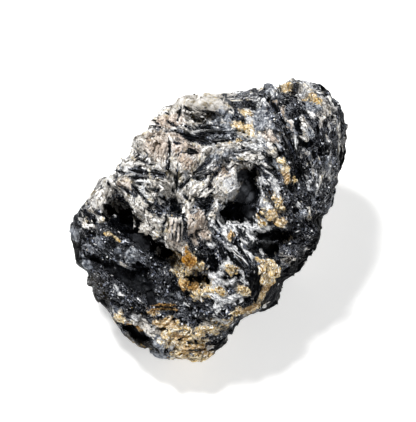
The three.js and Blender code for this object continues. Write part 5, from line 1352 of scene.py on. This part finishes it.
# %% Blades along the map's needles
BLADE_RISE = 0.12  # mm that a drawn blade stands over the rock
on_top = np.flatnonzero((out[:, 2] > 0.2) & (skin[:, 2] > -12))
floor_plan = surface[on_top] * [1, 1, 0]


def laid(places):
    """Lifts places in the plane of the show face onto the rock."""
    flat = np.column_stack([places, np.zeros(len(places))])
    near = nearest(floor_plan.tolist(), flat, 5)
    return np.column_stack([places, surface[on_top][near][:, :, 2].max(1)])


def sheaf(mark, thickness, chooser):
    """Thin blades side by side that fill a mark: both ends in the plane of the face, and half a width."""
    start, end = np.array(mark[1:3]), np.array(mark[3:5])
    run = end - start
    length = np.linalg.norm(run)
    across = np.array([-run[1], run[0]]) / length
    rows = []
    for k in range(max(1, round(mark[5] / thickness))):
        part = chooser.uniform(0.6, 1.0) if k else 1.0
        middle = start + run * (0.5 + (1 - part) * chooser.uniform(-0.5, 0.5))
        middle = middle + across * (chooser.uniform(-0.8, 0.8) * mark[5] if k else 0)
        half_run = run * part / 2 + across * chooser.normal(0, 0.03) * length
        half_width = min(mark[5], thickness) * chooser.uniform(0.7, 1.1)
        rows.append([*(middle - half_run), *(middle + half_run), half_width])
    return rows


def drawn_blades(mineral, thickness, chooser):
    """Blades along each narrow mark of one mineral: middles, ways, outs and half sizes."""
    marks = [mark for mark in STROKES if mark[0] == mineral and mark[6] >= 0.6]
    rows = np.array([row for mark in marks for row in sheaf(mark, thickness, chooser)])
    low, high = laid(rows[:, :2]), laid(rows[:, 2:4])
    at = (low + high) / 2
    at[:, 2] = (at[:, 2] + laid(at[:, :2])[:, 2]) / 2 + BLADE_RISE
    way = high - low
    flat_length = np.linalg.norm(way[:, :2], axis=1)
    way[:, 2] = np.clip(0.6 * way[:, 2], -0.45 * flat_length, 0.45 * flat_length)
    half_length = np.linalg.norm(way, axis=1) / 2
    way /= 2 * half_length[:, None]
    outward = np.cross(way, np.cross([0, 0, 1.0], way))
    outward /= np.linalg.norm(outward, axis=1, keepdims=True)
    print(f"blades drawn in {mineral}: {len(rows)}")
    return at, way, outward, np.column_stack([half_length, rows[:, 4], rows[:, 4] * 0.8])


def with_drawn(scattered, drawn):
    """Scattered crystals followed by drawn ones: places, ways, outs and half sizes."""
    return [np.concatenate(pair) for pair in zip(scattered, drawn)]


# %% [markdown]
# ## Schorl blades
# Black tourmaline grows as long prisms with a bright glassy skin. The ones that the map names lie across the slab.
# The rest lie close together along the grain, and they turn a black patch into a bundle of bright edges.

# %% Schorl blades
BLADES = 3000
chooser = np.random.default_rng(71)
at, outward = scatter(one_mineral("schorl") ** 3 * (1.05 - quad_low) * (1 - quad_calm), BLADES, chooser)
way = lying(at, outward, chooser, swing=14, pitch=3)
half_sizes = np.column_stack([
    chooser.lognormal(-0.4, 0.4, BLADES), chooser.lognormal(-1.8, 0.3, BLADES), chooser.lognormal(-1.9, 0.3, BLADES)])
at = at - outward * half_sizes[:, 2:] * 0.8
at, way, outward, half_sizes = with_drawn(
    (at, way, outward, half_sizes), drawn_blades("schorl", thickness=0.27, chooser=chooser))
blades = crystals("schorl_blades", BLADE, at, way, outward, half_sizes, chooser, ragged=0.12)
# Schorl's prism faces are polished black glass: low roughness, so that a few of them flash.
blades.data.materials.append(crystal_material(
    "schorl_glassy_prism_faces",
    [(0.0, "#020203"), (0.6, "#050607"), (0.85, "#0b0c10"), (0.95, "#1a1c22"), (1.0, "#3a3e49")],
    roughness=0.2, ior=1.64, specular=0.14, bump_mm=0.06))

# %% [markdown]
# ## Sugary albite
# The white feldspar of these lumps is a crust of tiny clear-cut grains that sparkle like sugar. The longest of them
# are splinters, which the map names one by one.

# %% Albite grains
ALBITE_GRAINS = 7500
chooser = np.random.default_rng(73)
at, outward = scatter((one_mineral("albite") ** 2 + 0.002) * (1 - quad_calm), ALBITE_GRAINS, chooser)
way = lying(at, outward, chooser, swing=30)
half_sizes = chooser.lognormal(-1.75, 0.35, (ALBITE_GRAINS, 1)) * [[2.3, 0.75, 0.7]]
at = at - outward * half_sizes[:, 2:] * 0.4
at, way, outward, half_sizes = with_drawn(
    (at, way, outward, half_sizes), drawn_blades("albite", thickness=0.2, chooser=chooser))
albite = crystals("albite_grains", GRAIN, at, way, outward, half_sizes, chooser, ragged=0.2)
# Clean albite is white and a little glossy, so the grains read as crystals and not as chalk.
albite.data.materials.append(crystal_material(
    "albite_sugary", [(0.0, "#5f6269"), (0.2, "#a2a4a9"), (0.5, "#dcdcdb"), (1.0, "#ffffff")],
    roughness=0.35, ior=1.53, specular=0.5))

# %% [markdown]
# ## Limonite grains
# Iron water has stained and replaced little rhomb-shaped crystals, so the ochre patches are heaps of blocky grains
# from pale straw to deep orange brown, with bare white ones among them.

# %% Limonite grains
LIMONITE_GRAINS = 7000
chooser = np.random.default_rng(74)
at, outward = scatter(one_mineral("limonite") ** 2 + 0.001, LIMONITE_GRAINS, chooser)
way = lying(at, outward, chooser, swing=38, pitch=16)
half_sizes = chooser.lognormal(-1.85, 0.35, (LIMONITE_GRAINS, 1)) * [[1.7, 0.75, 0.75]]
at = at - outward * half_sizes[:, 2:] * 0.5
limonite = crystals("limonite_grains", GRAIN, at, way, outward, half_sizes, chooser, ragged=0.2, warm_marks=RUST)
# Limonite is earthy iron oxide: a dull ochre, with the IOR kept near that of the stone it coats.
limonite.data.materials.append(crystal_material(
    "limonite_crust",
    [(0.0, "#24170a"), (0.13, "#735529"), (0.32, "#ba9853"), (0.52, "#dfc389"), (0.7, "#f2e3bc"), (0.85, "#fffdf6")],
    roughness=0.5, ior=1.6, specular=0.4,
    warm_stops=[(0.0, "#241304"), (0.25, "#6d430f"), (0.5, "#a8701c"), (0.75, "#cf9a3c"), (1.0, "#eed594")]))

# %% [markdown]
# ## Quartz grains
# Quartz fills the gaps as grey, glassy, shapeless grains, with a bluish tinge where it is thin over the black. It
# could be clear glass in Blender too, but over black rock a clear grain looks grey anyway, and renders far slower.

# %% Quartz grains
QUARTZ_GRAINS = 2500
chooser = np.random.default_rng(75)
at, outward = scatter(one_mineral("quartz") ** 2 + 0.001, QUARTZ_GRAINS, chooser)
way = chooser.normal(0, 1, (QUARTZ_GRAINS, 3))
way /= np.linalg.norm(way, axis=1, keepdims=True)
half_sizes = chooser.lognormal(-1.4, 0.35, (QUARTZ_GRAINS, 1)) * [[1.1, 0.9, 0.8]]
at = at - outward * half_sizes[:, 2:] * 0.6
quartz = crystals("quartz_grains", GRAIN, at, way, outward, half_sizes, chooser, ragged=0.2)
# Broken quartz is glassy, the glossiest of the pale minerals, with the usual IOR of 1.54.
quartz.data.materials.append(crystal_material(
    "quartz_glassy_grey", [(0.0, "#33363d"), (0.3, "#5f656f"), (0.6, "#8a8e94"), (1.0, "#c8cbce")],
    roughness=0.14, ior=1.54, specular=0.5))

# %% [markdown]
# ## Floor and light
# A specimen is shown on a plain pale ground in soft light. The key light comes from the upper left and is small
# enough to give the crystals crisp edges. A broad weak one fills the right, and a faint sky keeps the hollows from
# going fully black. Places are in face millimetres.

# %% Lights
SKY_STRENGTH = 0.15


def area_light(name, place, size, power):
    """A square light, size in metres and power in watts, that shines at the middle of the view."""
    data = bpy.data.lights.new(name, "AREA")
    data.size, data.energy = size, power
    light = bpy.data.objects.new(name, data)
    where = Vector(to_part(np.array(place)))
    towards = where - Vector(to_part(LOOK_AT))
    light.matrix_world = Matrix.Translation(where) @ towards.to_track_quat("Z", "Y").to_matrix().to_4x4()
    bpy.context.scene.collection.objects.link(light)


area_light("key", (-260, 600, 640), size=0.16, power=11)
area_light("fill", (500, -100, 600), size=0.4, power=1.6)

world = bpy.data.worlds.new("studio")
world.use_nodes = True
world.node_tree.nodes["Background"].inputs["Color"].default_value = linear("#f2f4f8")
world.node_tree.nodes["Background"].inputs["Strength"].default_value = SKY_STRENGTH
bpy.context.scene.world = world
bpy.context.scene.view_settings.view_transform = "Standard"
print("lights:", [light.name for light in bpy.data.lights])

# %% [markdown]
# The floor is matt white paper with a hint of fibre. It also glows a little, as paper does on a light table, so that
# it comes out nearly white without burning out the lump, and only a soft shadow is left.

# %% Floor
FLOOR_REACH = 3  # metres to each side
FIBRE_SIZE = 1 / 0.9  # mm
GLOW = 0.5

floor_mesh = bpy.data.meshes.new("floor")
floor_corners = [(x * FLOOR_REACH, y * FLOOR_REACH, 0) for x, y in [(-1, -1), (1, -1), (1, 1), (-1, 1)]]
floor_mesh.from_pydata(floor_corners, [], [(0, 1, 2, 3)])
floor = bpy.data.objects.new("floor", floor_mesh)
bpy.context.scene.collection.objects.link(floor)
paper, paper_tree = new_material("matt_white_paper")
fibres = add(paper_tree, "ShaderNodeTexNoise", {"Scale": 1000 / FIBRE_SIZE})
paper_colour = add(paper_tree, "ShaderNodeValToRGB", {"stops": [(0, "#f4f4f2"), (1, "#fafaf8")]}, {0: fibres})
paper_shader = add(paper_tree, "ShaderNodeBsdfPrincipled",
                   {"Roughness": 0.9, "Emission Color": linear("#ffffff"), "Emission Strength": GLOW},
                   {"Base Color": paper_colour})
add(paper_tree, "ShaderNodeOutputMaterial", {}, {"Surface": paper_shader})
floor_mesh.materials.append(paper)
print("floor, metres across:", 2 * FLOOR_REACH)
